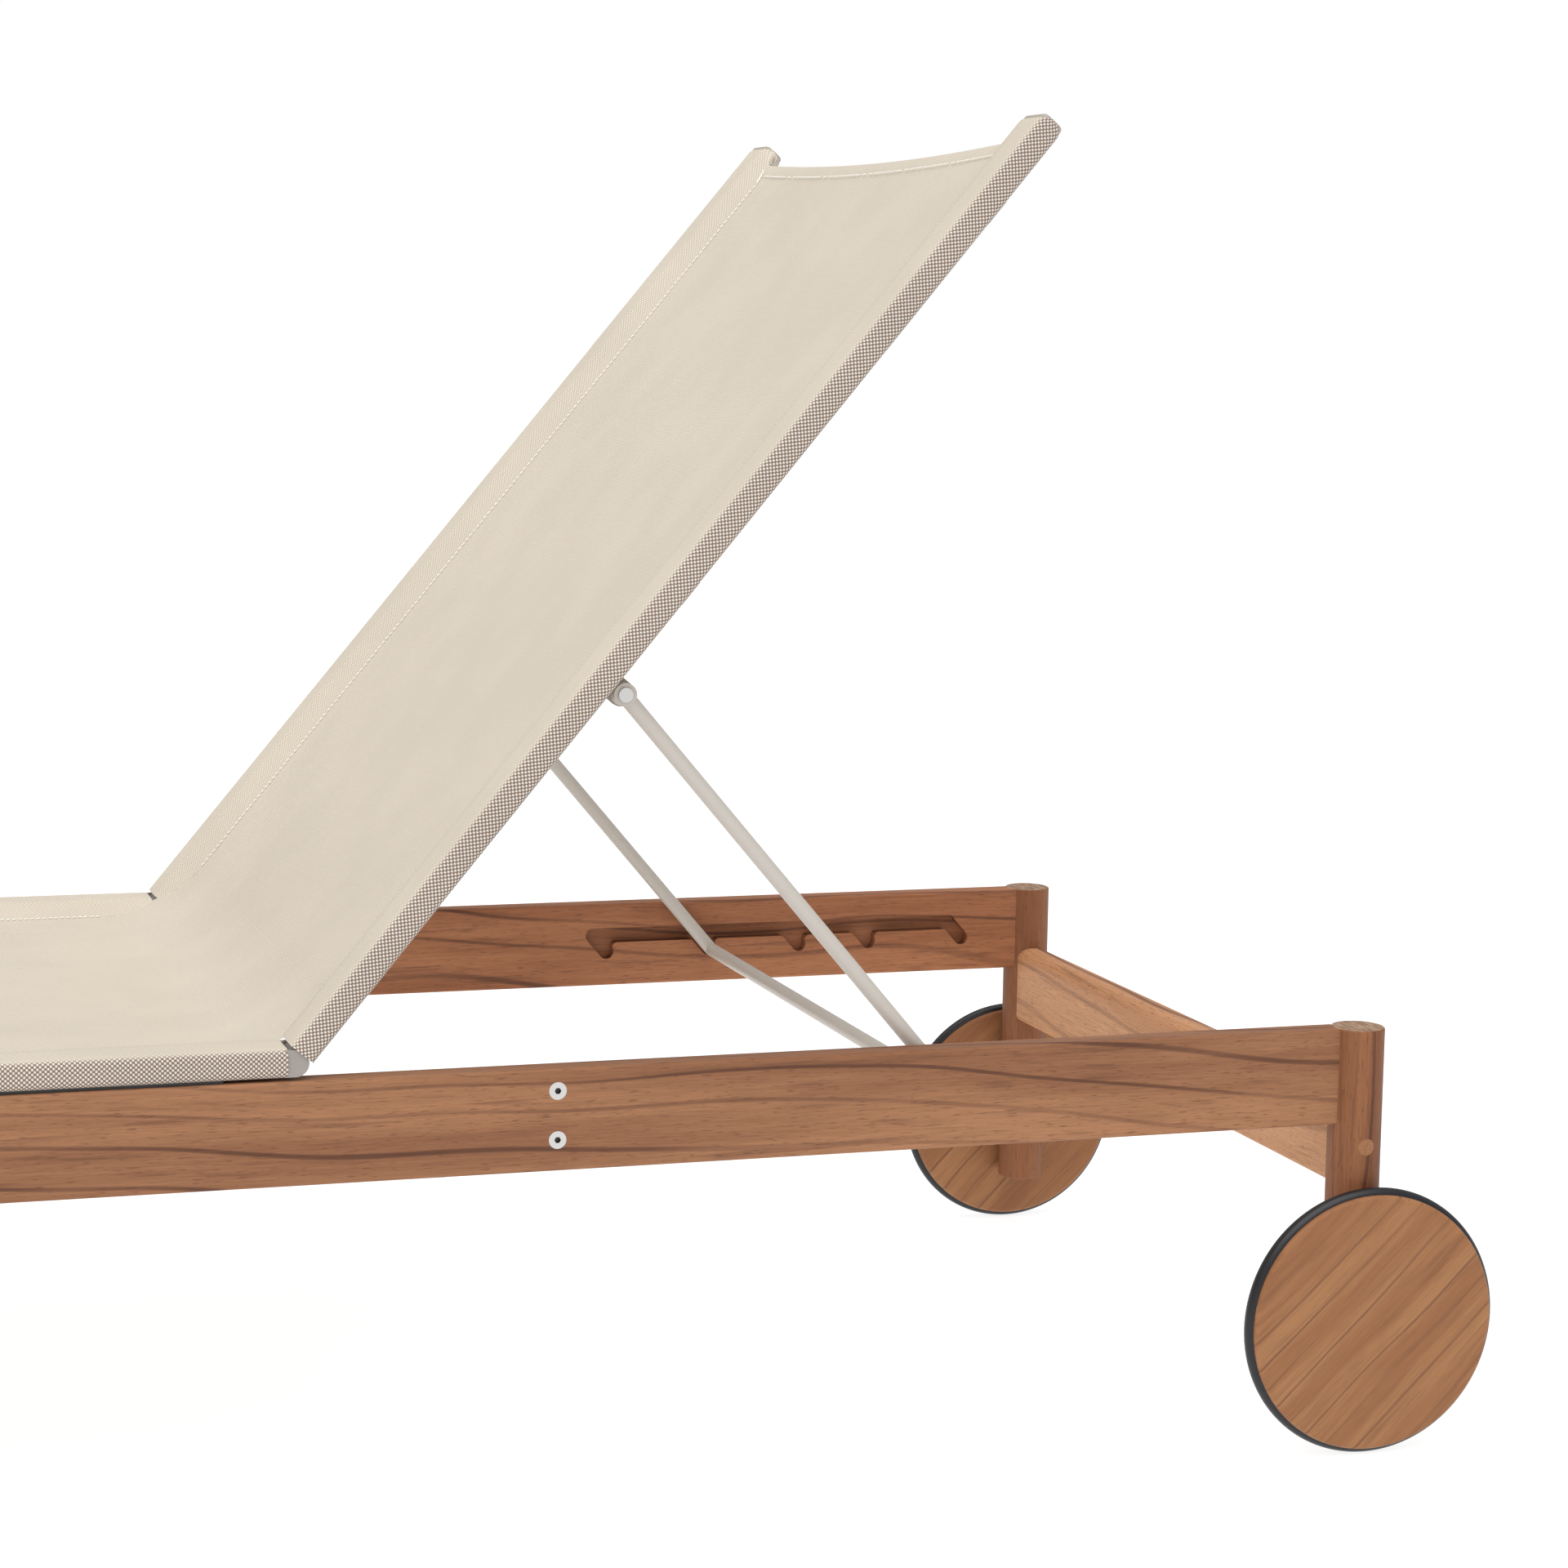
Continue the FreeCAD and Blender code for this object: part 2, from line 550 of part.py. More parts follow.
def make_joint_fasteners():
    """Bolts, cross dowel nuts and plugs of all four leg joints."""
    bolts, nuts, plugs = [], [], []
    for end in ("head", "foot"):
        x = f"{end}_x"
        bolt = joint_bolt(f"{end}_joint_bolt", x)
        blank = rod(f"{end}_nut_blank", "barrel_nut_radius", "barrel_nut_length", "Z",
                    x, "leg_in - barrel_nut_inset", "stretcher_z - barrel_nut_length / 2")
        thread = rod(f"{end}_nut_thread", "joint_bolt_radius", "4 * barrel_nut_radius", "Y",
                     x, "leg_in - barrel_nut_inset - 2 * barrel_nut_radius", "stretcher_z")
        nut = cut(f"{end}_barrel_nut", blank, thread)
        plug = doc.addObject("Part::Common", f"{end}_plug")
        plug.Base = rod(f"{end}_plug_rod", "plug_radius", "plug_length + 1", "Y",
                        x, "leg_out - plug_length", "stretcher_z")
        plug.Tool = leg_blank(f"{end}_plug_face", x,
                              "stretcher_z - 2 * plug_radius", "stretcher_z + 2 * plug_radius")
        for pile, thing in ((bolts, bolt), (nuts, nut), (plugs, plug)):
            pile.append(thing)
    keep_both("stretcher_bolts", bolts)
    keep_both("barrel_nuts", nuts)
    keep_both("leg_plugs", plugs)


def make_glides():
    pad = rod("glide_pad", "glide_radius", "glide_height", "Z", "foot_x", "leg_y", 0)
    stem = rod("glide_stem", "glide_stem_radius", "glide_height + glide_stem_length", "Z",
               "foot_x", "leg_y", 0)
    keep_pair("foot_glide", fuse("foot_glide", pad, stem))


# -------------------------------------------------------------------------------- wheels

def make_wheel_disc():
    """Wooden disc with a round groove in its rim and a blind bore in its inner face."""
    body = new_body("wheel_disc")
    face = circle_sketch(body, "disc_face", "XZ_Plane", "disc_radius")
    pad = body.newObject("PartDesign::Pad", "disc_pad")
    pad.Profile = face
    pad.Reversed = True
    bind(pad, Length="disc_thickness")
    doc.recompute()
    rim = body.newObject("PartDesign::Fillet", "disc_rim")
    circles = [f"Edge{i}" for i, edge in enumerate(pad.Shape.Edges, start=1)
               if type(edge.Curve).__name__ == "Circle"]
    rim.Base = (pad, circles)
    bind(rim, Radius="disc_edge_radius")
    section = circle_sketch(body, "rim_section", "YZ_Plane", "tyre_section / 2",
                            "disc_thickness / 2", "tyre_radius - tyre_section / 2")
    groove = body.newObject("PartDesign::Groove", "rim_groove")
    groove.Profile = section
    groove.ReferenceAxis = (origin_feature(body, "Y_Axis"), [""])
    groove.Angle = 360
    bore_face = circle_sketch(body, "bore_face", "XZ_Plane", "bush_radius")
    bore = body.newObject("PartDesign::Pocket", "hub_bore")
    bore.Profile = bore_face
    bind(bore, Length="axle_reach + axle_end_gap + bush_end")
    put(body, "head_x", "wheel_in", "tyre_radius")
    keep_pair("wheel_disc", body)


def make_tyre():
    cord = doc.addObject("Part::Torus", "tyre")
    cord.Placement = FreeCAD.Placement(FreeCAD.Vector(), AXES["Y"])
    bind(cord, Radius1="tyre_radius - tyre_section / 2", Radius2="tyre_section / 2")
    put(cord, "head_x", "wheel_in + disc_thickness / 2", "tyre_radius")
    keep_pair("tyre", cord)


def wheel_rod(name, radius, start, length):
    """A cylinder on the wheel's axis that starts at a Y and runs outwards."""
    return rod(name, radius, length, "Y", "head_x", start, "tyre_radius")


def make_wheel_bush():
    barrel = wheel_rod("bush_barrel", "bush_radius", "wheel_in", "axle_reach + axle_end_gap + bush_end")
    flange = wheel_rod("bush_flange_disc", "bush_flange_radius", "wheel_in - bush_flange", "bush_flange")
    bore = wheel_rod("bush_bore", "axle_radius + running_clearance", "wheel_in - bush_flange - 1",
                     "axle_reach + axle_end_gap + bush_flange + 1")
    ring_room = wheel_rod("bush_ring_room", "ring_radius + ring_play",
                          "wheel_in + ring_place - ring_play", "ring_width + 2 * ring_play")
    keep_pair("wheel_bush", cut("wheel_bush", fuse("bush_solid", barrel, flange), bore, ring_room))


def make_axle():
    seat = "leg_in + spot_face_depth - washer_thickness"
    shank = wheel_rod("axle_shank", "axle_radius", seat, f"wheel_in + axle_reach - ({seat})")
    head = hexagon("axle_head", "axle_head_radius", "axle_head_length", "Y",
                   "head_x", f"{seat} - axle_head_length", "tyre_radius")
    start = "wheel_in + ring_place"
    groove_outer = wheel_rod("axle_groove_outer", "axle_radius + 1", start, "ring_width")
    groove_inner = wheel_rod("axle_groove_inner", "axle_radius - ring_groove_depth", start, "ring_width")
    groove = cut("axle_groove", groove_outer, groove_inner)
    keep_pair("wheel_axle", cut("wheel_axle", fuse("axle_solid", shank, head), groove))


def make_axle_washers():
    """One washer under the axle head and one between the leg and the wheel."""
    washers = []
    for name, start in (("inner", "leg_in + spot_face_depth - washer_thickness"), ("outer", "leg_out")):
        blank = wheel_rod(f"washer_{name}_blank", "washer_radius", start, "washer_thickness")
        hole = wheel_rod(f"washer_{name}_hole", "axle_radius + hole_clearance", start, "washer_thickness")
        washers.append(cut(f"washer_{name}", blank, hole))
    keep_both("axle_washers", washers)
    ring = wheel_rod("ring_blank", "ring_radius", "wheel_in + ring_place", "ring_width")
    hole = wheel_rod("ring_hole", "axle_radius - ring_groove_depth", "wheel_in + ring_place", "ring_width")
    keep_both("axle_rings", [cut("axle_ring", ring, hole)])


# ----------------------------------------------------------------------------- sling tubes

HEAD_FLANGE = ("hinge_x - bracket_flange_start", "hinge_x - bracket_flange_end")
HEAD_PLATE = ("hinge_x - bracket_flange_start", "head_bolt_x + bracket_end_margin")
FOOT_FLANGE = ("foot_x + foot_bracket_start", "foot_x + foot_bracket_start + foot_bracket_length")
SCREW_Y = "(tube_in + plate_in) / 2"


SEAT_SPREADERS = 4


def screw_places(flange_x):
    return f"{flange_x[0]} + screw_margin", f"{flange_x[1]} - screw_margin"


def flat_tube(name, start, end, low, high):
    """Hollow tube with rounded corners, on the right-hand side."""
    outer = box(name + "_outer", (start, end), ("tube_in", "tube_out"), (low, high))
    skin = rounded(name + "_skin", outer, "tube_corner", along_x)
    inner = box(name + "_inner", (f"{start} - 1", f"{end} + 1"),
                ("tube_in + tube_wall", "tube_out - tube_wall"),
                (f"{low} + tube_wall", f"{high} - tube_wall"))
    return cut(name, skin, inner)


def end_cap(name, tip, inward, low, high):
    """Plastic cap over a tube end; inward is +1 where the tube lies on the +X side of the tip."""
    plate_x = (tip, f"{tip} + cap_thickness") if inward > 0 else (f"{tip} - cap_thickness", tip)
    plug_x = ((tip, f"{tip} + cap_thickness + cap_insert") if inward > 0
              else (f"{tip} - cap_thickness - cap_insert", tip))
    plate = box(name + "_plate", plate_x, ("tube_in", "tube_out"), (low, high))
    corners = rounded(name + "_corners", plate, "tube_corner", along_x)
    doc.recompute()
    bounds = corners.Shape.BoundBox
    face_x = bounds.XMin if inward > 0 else bounds.XMax

    def on_outer_face(edge):
        return abs(edge.BoundBox.XMin - face_x) < 0.01 and abs(edge.BoundBox.XMax - face_x) < 0.01
    dome = rounded(name + "_dome", corners, "cap_edge_radius", on_outer_face)
    plug = box(name + "_plug", plug_x, ("hollow_in", "hollow_out"),
               (f"({low}) + tube_wall + hinge_plug_room", f"({high}) - tube_wall - hinge_plug_room"))
    face = f"{tip} + cap_thickness / 2" if inward > 0 else f"{tip} - cap_thickness / 2"
    shell_x = (f"{tip} - 1", face) if inward > 0 else (face, f"{tip} + 1")
    nose = box(name + "_nose", shell_x, ("tube_in", "tube_out"), (low, high))
    return fuse(name, dome, cut(name + "_insert", plug, nose))


def spreader(name, x, top):
    """Flat cross tube under the two side tubes, with its ends open."""
    outer = box(name + "_outer", (f"{x} - spreader_width / 2", f"{x} + spreader_width / 2"),
                ("0 - tube_in - spreader_reach", "tube_in + spreader_reach"),
                (f"{top} - spreader_height", top))
    skin = rounded(name + "_skin", outer, "spreader_corner", along_y)
    inner = box(name + "_inner",
                (f"{x} - spreader_width / 2 + spreader_wall", f"{x} + spreader_width / 2 - spreader_wall"),
                ("0 - tube_in - spreader_reach - 1", "tube_in + spreader_reach + 1"),
                (f"{top} - spreader_height + spreader_wall", f"{top} - spreader_wall"))
    return cut(name, skin, inner)


def make_seat_frame():
    top = "tube_low + tube_height"
    tube = flat_tube("seat_tube_plain", "seat_start + cap_thickness", "seat_end", "tube_low", top)
    holes = [rod(f"tube_hole_{number}", "screw_radius", "tube_wall + 2", "Z", x, SCREW_Y, "tube_low - 1")
             for number, x in enumerate(screw_places(HEAD_FLANGE) + screw_places(FOOT_FLANGE), start=1)]
    keep_pair("seat_tube", cut("seat_tube", tube, *holes))
    keep_pair("seat_end_cap", end_cap("seat_end_cap", "seat_start", 1, "tube_low", top))
    first = "(seat_start + seat_spreader_inset)"
    last = "(seat_end - seat_spreader_inset)"
    bays = SEAT_SPREADERS - 1
    places = [f"({first} + ({last} - {first}) * {number} / {bays})" for number in range(SEAT_SPREADERS)]
    keep("seat_spreaders", group("seat_spreaders", *(
        spreader(f"seat_spreader_{number}", x, "tube_low") for number, x in enumerate(places, start=1))))
    pad_y = "frame_width / 2 - rail_thickness / 2"
    pad = box("rail_pad", ("foot_x + leg_depth / 2 + pad_inset", "seat_end - pad_inset"),
              (f"{pad_y} - pad_width / 2", f"{pad_y} + pad_width / 2"), ("rail_top_height", "tube_low"))
    keep_pair("rail_pad", pad)


def bracket(name, plate_x, flange_x, bolt_x):
    """Steel angle bolted to the inner face of a rail, with a flange under the seat tube."""
    top = "rail_top_height - bracket_top_gap"
    plate = box(name + "_plate", plate_x, ("plate_in", "rail_in"), (f"{top} - bracket_height", top))
    riser = box(name + "_riser", flange_x, ("plate_in", "rail_in"), (f"{top} - bracket_height", "tube_low"))
    flange = box(name + "_flange", flange_x, ("tube_in + 1", "rail_in"),
                 ("tube_low - bracket_thickness", "tube_low"))
    holes = [rod(f"{name}_{level}_hole", "bolt_radius + hole_clearance", "bracket_thickness + 2", "Y",
                 bolt_x, "plate_in - 1", f"{level}_bolt_z") for level in ("upper", "lower")]
    for number, x in enumerate(screw_places(flange_x), start=1):
        holes.append(rod(f"{name}_screw_hole_{number}", "screw_radius", "bracket_thickness + 2", "Z",
                         x, SCREW_Y, "tube_low - bracket_thickness - 1"))
    return cut(name, fuse(name + "_solid", plate, riser, flange), *holes)


def make_brackets():
    keep_pair("hinge_bracket", bracket("hinge_bracket", HEAD_PLATE, HEAD_FLANGE, "head_bolt_x"))
    keep_pair("foot_bracket", bracket("foot_bracket", FOOT_FLANGE, FOOT_FLANGE, "foot_bolt_x"))
    bolts, nuts = [], []
    for name, x, z in bolt_places():
        bolts.append(rail_bolt(f"{name}_bolt", x, z))
        face = "plate_in - nut_thickness"
        blank = hexagon(f"{name}_nut_blank", "nut_radius", "nut_thickness", "Y", x, face, z)
        thread = rod(f"{name}_nut_thread", "bolt_radius", "nut_thickness", "Y", x, face, z)
        nuts.append(cut(f"{name}_nut", blank, thread))
    keep_pair("rail_bolts", group("rail_bolts", *bolts))
    keep_both("bracket_nuts", nuts)
    screws = []
    for end, flange in (("head", HEAD_FLANGE), ("foot", FOOT_FLANGE)):
        for number, x in enumerate(screw_places(flange), start=1):
            screws.append(tube_screw(f"{end}_screw_{number}", x))
    keep_both("bracket_screws", screws)


def rail_bolt(name, x, z):
    """Countersunk bolt with a hexagon socket, flush with the outer face of the rail."""
    head_depth = "(bolt_head_radius - bolt_radius)"
    tail = "plate_in - nut_thickness - bolt_tail"
    shank = rod(name + "_shank", "bolt_radius", f"rail_out - {head_depth} - ({tail})", "Y", x, tail, z)
    head = doc.addObject("Part::Cone", name + "_head")
    head.Placement = FreeCAD.Placement(FreeCAD.Vector(), AXES["Y"])
    bind(head, Radius1="bolt_radius", Radius2="bolt_head_radius", Height=head_depth)
    put(head, x, f"rail_out - {head_depth}", z)
    socket = hexagon(name + "_socket", "bolt_socket_radius", "bolt_socket_depth + 1", "Y",
                     x, "rail_out - bolt_socket_depth", z)
    return cut(name, fuse(name + "_solid", shank, head), socket)


def tube_screw(name, x):
    """Pan-head screw up through a bracket flange and the wall of the seat tube."""
    head = rod(name + "_head", "screw_head_radius", "screw_head_height", "Z",
               x, SCREW_Y, "tube_low - bracket_thickness - screw_head_height")
    shank = rod(name + "_shank", "screw_radius", "bracket_thickness + tube_wall", "Z",
                x, SCREW_Y, "tube_low - bracket_thickness")
    return fuse(name, head, shank)


# --------------------------------------------------------------------------------- hinges

def make_fixed_hinge():
    """Plug in the seat tube with two ears that hold the hinge pin."""
    plug = box("hinge_seat_plug", ("seat_end - hinge_plug_length", "seat_end"), ("hollow_in", "hollow_out"),
               ("hinge_z - hollow_half", "hinge_z + hollow_half"))
    outer = hinge_ear("hinge_outer_ear", "outer_ear_in", "outer_ear_out")
    inner = hinge_ear("hinge_inner_ear", "hollow_in", "hollow_in + inner_ear")
    hole = rod("hinge_seat_hole", "hinge_pin_radius", "outer_ear_out - pin_cover - hollow_in", "Y",
               "hinge_x", "hollow_in", "hinge_z")
    keep_pair("hinge_seat_plate", cut("hinge_seat_plate", fuse("hinge_seat_solid", plug, outer, inner), hole))
    pin = rod("hinge_pin", "hinge_pin_radius", "outer_ear_out - pin_cover - hollow_in", "Y",
              "hinge_x", "hollow_in", "hinge_z")
    keep_both("hinge_pins", [pin])


def hinge_ear(name, inner, outer):
    """Flat cheek from the end of the seat tube to a round nose about the pin."""
    neck = box(name + "_neck", ("seat_end", "hinge_x"), (inner, outer),
               ("hinge_z - ear_radius", "hinge_z + ear_radius"))
    nose = rod(name + "_nose", "ear_radius", f"({outer}) - ({inner})", "Y", "hinge_x", inner, "hinge_z")
    behind = box(name + "_behind", ("seat_end - ear_radius", "seat_end"),
                 (f"({inner}) - 1", f"({outer}) + 1"),
                 ("hinge_z - ear_radius - 1", "hinge_z + ear_radius + 1"))
    return cut(name, fuse(name + "_cheek", neck, nose), behind)


def on_back(thing):
    """Turn a piece drawn along the flat backrest up to the resting recline."""
    return turn(thing, "recline_rest", "hinge_x", 0, "hinge_z")


def make_moving_hinge():
    """Plug in the back tube with the tongue that turns on the hinge pin."""
    plug = box("hinge_back_plug", ("back_gap", "back_gap + hinge_plug_length"), ("hollow_in", "hollow_out"),
               ("0 - hollow_half", "hollow_half"))
    neck = box("hinge_tongue_neck", ("0", "back_gap + 1"), ("tongue_in", "tongue_out"),
               ("0 - tongue_radius", "tongue_radius"))
    nose = rod("hinge_tongue_nose", "tongue_radius", "tongue_out - tongue_in", "Y", 0, "tongue_in", 0)
    hole = rod("hinge_back_hole", "hinge_pin_radius + running_clearance", "tongue_out - tongue_in + 2", "Y",
               0, "tongue_in - 1", 0)
    piece = cut("hinge_back_plate", fuse("hinge_back_solid", plug, neck, nose), hole)
    keep_pair("hinge_back_plate", on_back(piece))


# ------------------------------------------------------------------------------- backrest

def make_back_frame():
    low, high = "0 - tube_height / 2", "tube_height / 2"
    tube = flat_tube("back_tube", "back_gap", "back_length - cap_thickness", low, high)
    keep_pair("back_tube", on_back(tube))
    keep_pair("back_end_cap", on_back(end_cap("back_end_cap", "back_length", -1, low, high)))
    places = {
        "lower": "back_spreader_low",
        "middle": "((back_spreader_low + back_length - back_spreader_top_inset) / 2)",
        "upper": "(back_length - back_spreader_top_inset)",
    }
    for name, x in places.items():
        keep(f"back_spreader_{name}", on_back(spreader(f"back_spreader_{name}", x, low)))


def make_prop_lugs():
    """Lug welded under each back tube, and the pin that the prop hangs from."""
    top = "0 - tube_height / 2"
    cheek = box("lug_cheek", ("pivot_along - lug_radius", "pivot_along + lug_radius"), ("lug_in", "lug_out"),
                ("0 - pivot_drop", top))
    nose = rod("lug_nose", "lug_radius", "lug_thickness", "Y", "pivot_along", "lug_in", "0 - pivot_drop")
    foot = box("lug_foot_plate", ("pivot_along - lug_foot_half", "pivot_along + lug_foot_half"),
               ("tube_in + 1", "prop_y + prop_radius"), (f"{top} - lug_foot", top))
    hole = rod("lug_hole", "pivot_pin_radius", "lug_thickness + 2", "Y",
               "pivot_along", "lug_in - 1", "0 - pivot_drop")
    keep_pair("prop_lug", on_back(cut("prop_lug", fuse("lug_solid", cheek, nose, foot), hole)))
    shank = rod("pivot_shank", "pivot_pin_radius", "prop_y + prop_radius + lug_side_gap - lug_in", "Y",
                "pivot_along", "lug_in", "0 - pivot_drop")
    outer = rod("pivot_outer_head", "pivot_head_radius", "pivot_head", "Y",
                "pivot_along", "prop_y + prop_radius + lug_side_gap", "0 - pivot_drop")
    inner = rod("pivot_inner_head", "pivot_head_radius", "pivot_head", "Y",
                "pivot_along", "lug_in - pivot_head", "0 - pivot_drop")
    keep_both("prop_pins", [on_back(fuse("prop_pin", shank, outer, inner))])


# ----------------------------------------------------------------------------------- prop

def on_prop(thing):
    """Swing a piece drawn along the prop down to the notch that it rests in."""
    return turn(thing, prop_angle("recline_rest"), pivot_x("recline_rest"), 0, pivot_z("recline_rest"))


def mitre(name, angle):
    """Block with one face on the mitre plane at the right-hand corner of the prop."""
    half = "4 * prop_radius"
    block = doc.addObject("Part::Box", name)
    bind(block, Length=f"2 * {half}", Width=f"2 * {half}", Height=f"2 * {half}")
    block.Placement = FreeCAD.Placement(FreeCAD.Vector(), FreeCAD.Rotation(FreeCAD.Vector(0, 0, 1), angle))
    side = "-" if angle < 0 else "+"
    back = f"{side} {half} * sqrt(0.5)"
    return put(block, f"prop_length {back}", f"prop_y {back}", f"0 - {half}")


def make_prop():
    """Two straight legs and a cross bar, mitred and welded at the corners."""
    leg = rod("prop_leg_rod", "prop_radius", "prop_length + prop_radius", "X", 0, "prop_y", 0)
    eye = rod("prop_eye", "eye_radius", "2 * prop_radius", "Y", 0, "prop_y - prop_radius", 0)
    hole = rod("prop_eye_hole", "pivot_pin_radius + running_clearance", "2 * prop_radius + 2", "Y",
               0, "prop_y - prop_radius - 1", 0)
    leg_piece = cut("prop_leg", fuse("prop_leg_solid", leg, eye), hole, mitre("leg_mitre", -45))
    keep_pair("prop_leg", on_prop(leg_piece))
    bar = rod("prop_bar_rod", "prop_radius", "2 * (prop_y + prop_radius)", "Y",
              "prop_length", "0 - prop_y - prop_radius", 0)
    right = mitre("bar_mitre", 135)
    bar_piece = cut("prop_crossbar", bar, right, mirrored("bar_mitre_left", right))
    keep("prop_crossbar", on_prop(bar_piece))


# --------------------------------------------------------------------------------- slings

def sling(name, start, end, middle):
    """Cloth as a plain sheet at mid height between the side tubes and a strip over each tube."""
    sheet_part = box(name + "_sheet", (start, end), ("0 - tube_in", "tube_in"),
                     (f"{middle} - fabric_thickness / 2", f"{middle} + fabric_thickness / 2"))
    high = f"{middle} + tube_height / 2"
    over = box(name + "_over", (start, end), ("tube_in", "tube_out + fabric_thickness"),
               (high, f"{high} + fabric_thickness"))
    side = box(name + "_side", (start, end), ("tube_out", "tube_out + fabric_thickness"),
               (f"{middle} - tube_height / 2", f"{high} + fabric_thickness"))
    strip = fuse(name + "_strip", over, side)
    return group(name, sheet_part, strip, mirrored(name + "_strip_left", strip))


def make_slings():
    """Stretched cloth of the seat and of the backrest."""
    keep("sling_seat", sling("sling_seat", "seat_start + hem_inset", "seat_end", "hinge_z"))
    keep("sling_back", on_back(sling("sling_back", "back_gap", "back_length - hem_inset", "0")))


# ----------------------------------------------------------------------------------- build

def check_document():
    """Stop if any object failed or any sub-part has no sound solid."""
    failed = [thing.Name for thing in doc.Objects if {"Invalid", "Error"} & set(thing.State)]
    unsound = [thing.Label for thing in subparts
               if thing.Shape.isNull() or not thing.Shape.isValid() or not thing.Shape.Solids]
    if failed or unsound:
        raise RuntimeError(f"failed objects {failed}, unsound sub-parts {unsound}")


head_column = make_leg("head", "head_x", "head_leg_lift")
foot_column = make_leg("foot", "foot_x", "glide_height")
make_rails(head_column, foot_column)
make_stretcher("head", "head_x", head_column)
make_stretcher("foot", "foot_x", foot_column)
make_joint_fasteners()
make_glides()
make_wheel_disc()
make_tyre()
make_wheel_bush()
make_axle()
make_axle_washers()
make_seat_frame()
make_brackets()
make_fixed_hinge()
make_moving_hinge()
make_back_frame()
make_prop_lugs()
make_prop()
make_slings()
doc.recompute()
check_document()

os.makedirs("parts", exist_ok=True)
for thing in subparts:
    thing.Shape.exportStep(os.path.join("parts", thing.Label + ".step"))
    print(f"{thing.Label:22s} solids {len(thing.Shape.Solids)}  volume {thing.Shape.Volume / 1000:9.2f} cm3")
print(len(subparts), "sub-parts")
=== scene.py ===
import math

import bpy
import numpy as np
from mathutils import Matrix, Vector


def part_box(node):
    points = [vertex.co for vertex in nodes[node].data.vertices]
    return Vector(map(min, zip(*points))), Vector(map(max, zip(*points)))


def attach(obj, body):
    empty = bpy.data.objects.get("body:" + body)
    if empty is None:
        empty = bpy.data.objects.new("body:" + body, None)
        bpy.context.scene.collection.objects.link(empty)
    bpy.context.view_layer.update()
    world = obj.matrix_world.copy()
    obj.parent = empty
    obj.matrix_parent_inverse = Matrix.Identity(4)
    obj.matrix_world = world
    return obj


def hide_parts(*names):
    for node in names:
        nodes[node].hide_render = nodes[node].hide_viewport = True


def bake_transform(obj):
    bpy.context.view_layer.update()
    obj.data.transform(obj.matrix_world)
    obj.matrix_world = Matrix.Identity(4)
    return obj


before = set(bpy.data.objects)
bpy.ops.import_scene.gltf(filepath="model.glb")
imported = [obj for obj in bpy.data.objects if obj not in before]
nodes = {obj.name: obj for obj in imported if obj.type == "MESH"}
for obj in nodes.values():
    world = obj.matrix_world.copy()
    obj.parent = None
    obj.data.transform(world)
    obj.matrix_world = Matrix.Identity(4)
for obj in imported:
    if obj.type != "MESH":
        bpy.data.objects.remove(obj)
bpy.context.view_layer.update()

# ------------------------------------------------------------ places taken from the frame
# Points of a panel of cloth are given as (s, y, n): s along the panel from the hinge axis,
# y across the lounger, n out of the lounging face. Everything is in metres.
RECLINE = math.radians(50.3)
HINGE_PAST_TUBE = 0.007
seat_low, seat_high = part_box("seat_tube_right")
tube_in, tube_out = seat_low.y, seat_high.y
tube_middle = (tube_in + tube_out) / 2
HALF = (seat_high.z - seat_low.z) / 2
HINGE = Vector((seat_high.x + HINGE_PAST_TUBE, 0, (seat_high.z + seat_low.z) / 2))
FOOT_TIP = HINGE.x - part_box("seat_end_cap_right")[0].x
BACK_TIP = 0.806

# ------------------------------------------------------------------------------ cloth sizes
SKIN = 0.0008             # cloth surface over the tube
TUBE_CORNER = 0.005       # rounding of the outer edges of the tube
SEAM_Y = 0.2675           # side seam, where the pocket begins
SAG = 0.005               # how far the middle of the sheet hangs below its seams
HEM_SAG = 0.3             # share of that sag left at the hem
HEM_TAUT = 0.15           # length over which the sheet draws tight towards the hem
HEM_DEPTH = 0.012
HEM_MIDDLE = -0.0232      # hem from the tip of the pockets, in the middle
HEM_RISE = 0.0066         # how much further the hem reaches at the seams
HEM_ROLL = 0.0007         # radius of the folded edge
HEM_ROLL_STEPS = 4
CREASE = 0.045            # reach of the crease strip, each side of the hinge line
ROWS = 64                 # steps along a panel
TURNS = 8                 # steps round its end
END_ROWS = 0.06           # how much the rows crowd towards both ends
POCKET_NOSE = 0.009       # rounding of the closed end of a pocket
POCKET_EDGE = 0.0015      # the same, at the seam
POCKET_PAST_TIP = 0.0005
POCKET_RAMP = 0.004       # the pocket has its full length this far past the tube's inner face
PITCH_ALONG = 0.001683    # weave, along the panel
PITCH_ACROSS = 0.001587   # weave, across it


def mesh_object(name, verts, faces, uvs=None, smooth=True):
    mesh = bpy.data.meshes.new(name)
    mesh.from_pydata([tuple(v) for v in verts], [], faces)
    if uvs is not None:
        layer = mesh.uv_layers.new(name="cloth")
        for loop in mesh.loops:
            layer.data[loop.index].uv = uvs[loop.vertex_index]
    mesh.polygons.foreach_set("use_smooth", [smooth] * len(mesh.polygons))
    mesh.update()
    thing = bpy.data.objects.new(name, mesh)
    bpy.context.scene.collection.objects.link(thing)
    return thing


def seat_point(s, y, n):
    """Point of the seat, which runs from the hinge towards the foot."""
    return (HINGE.x - s, y, HINGE.z + n)


def back_point(s, y, n):
    """Point of the backrest, which runs from the hinge up to its tip."""
    c, k = math.cos(RECLINE), math.sin(RECLINE)
    return (HINGE.x + s * c - n * k, y, HINGE.z + s * k + n * c)


def ease(t):
    t = min(max(t, 0.0), 1.0)
    return t * t * (3 - 2 * t)


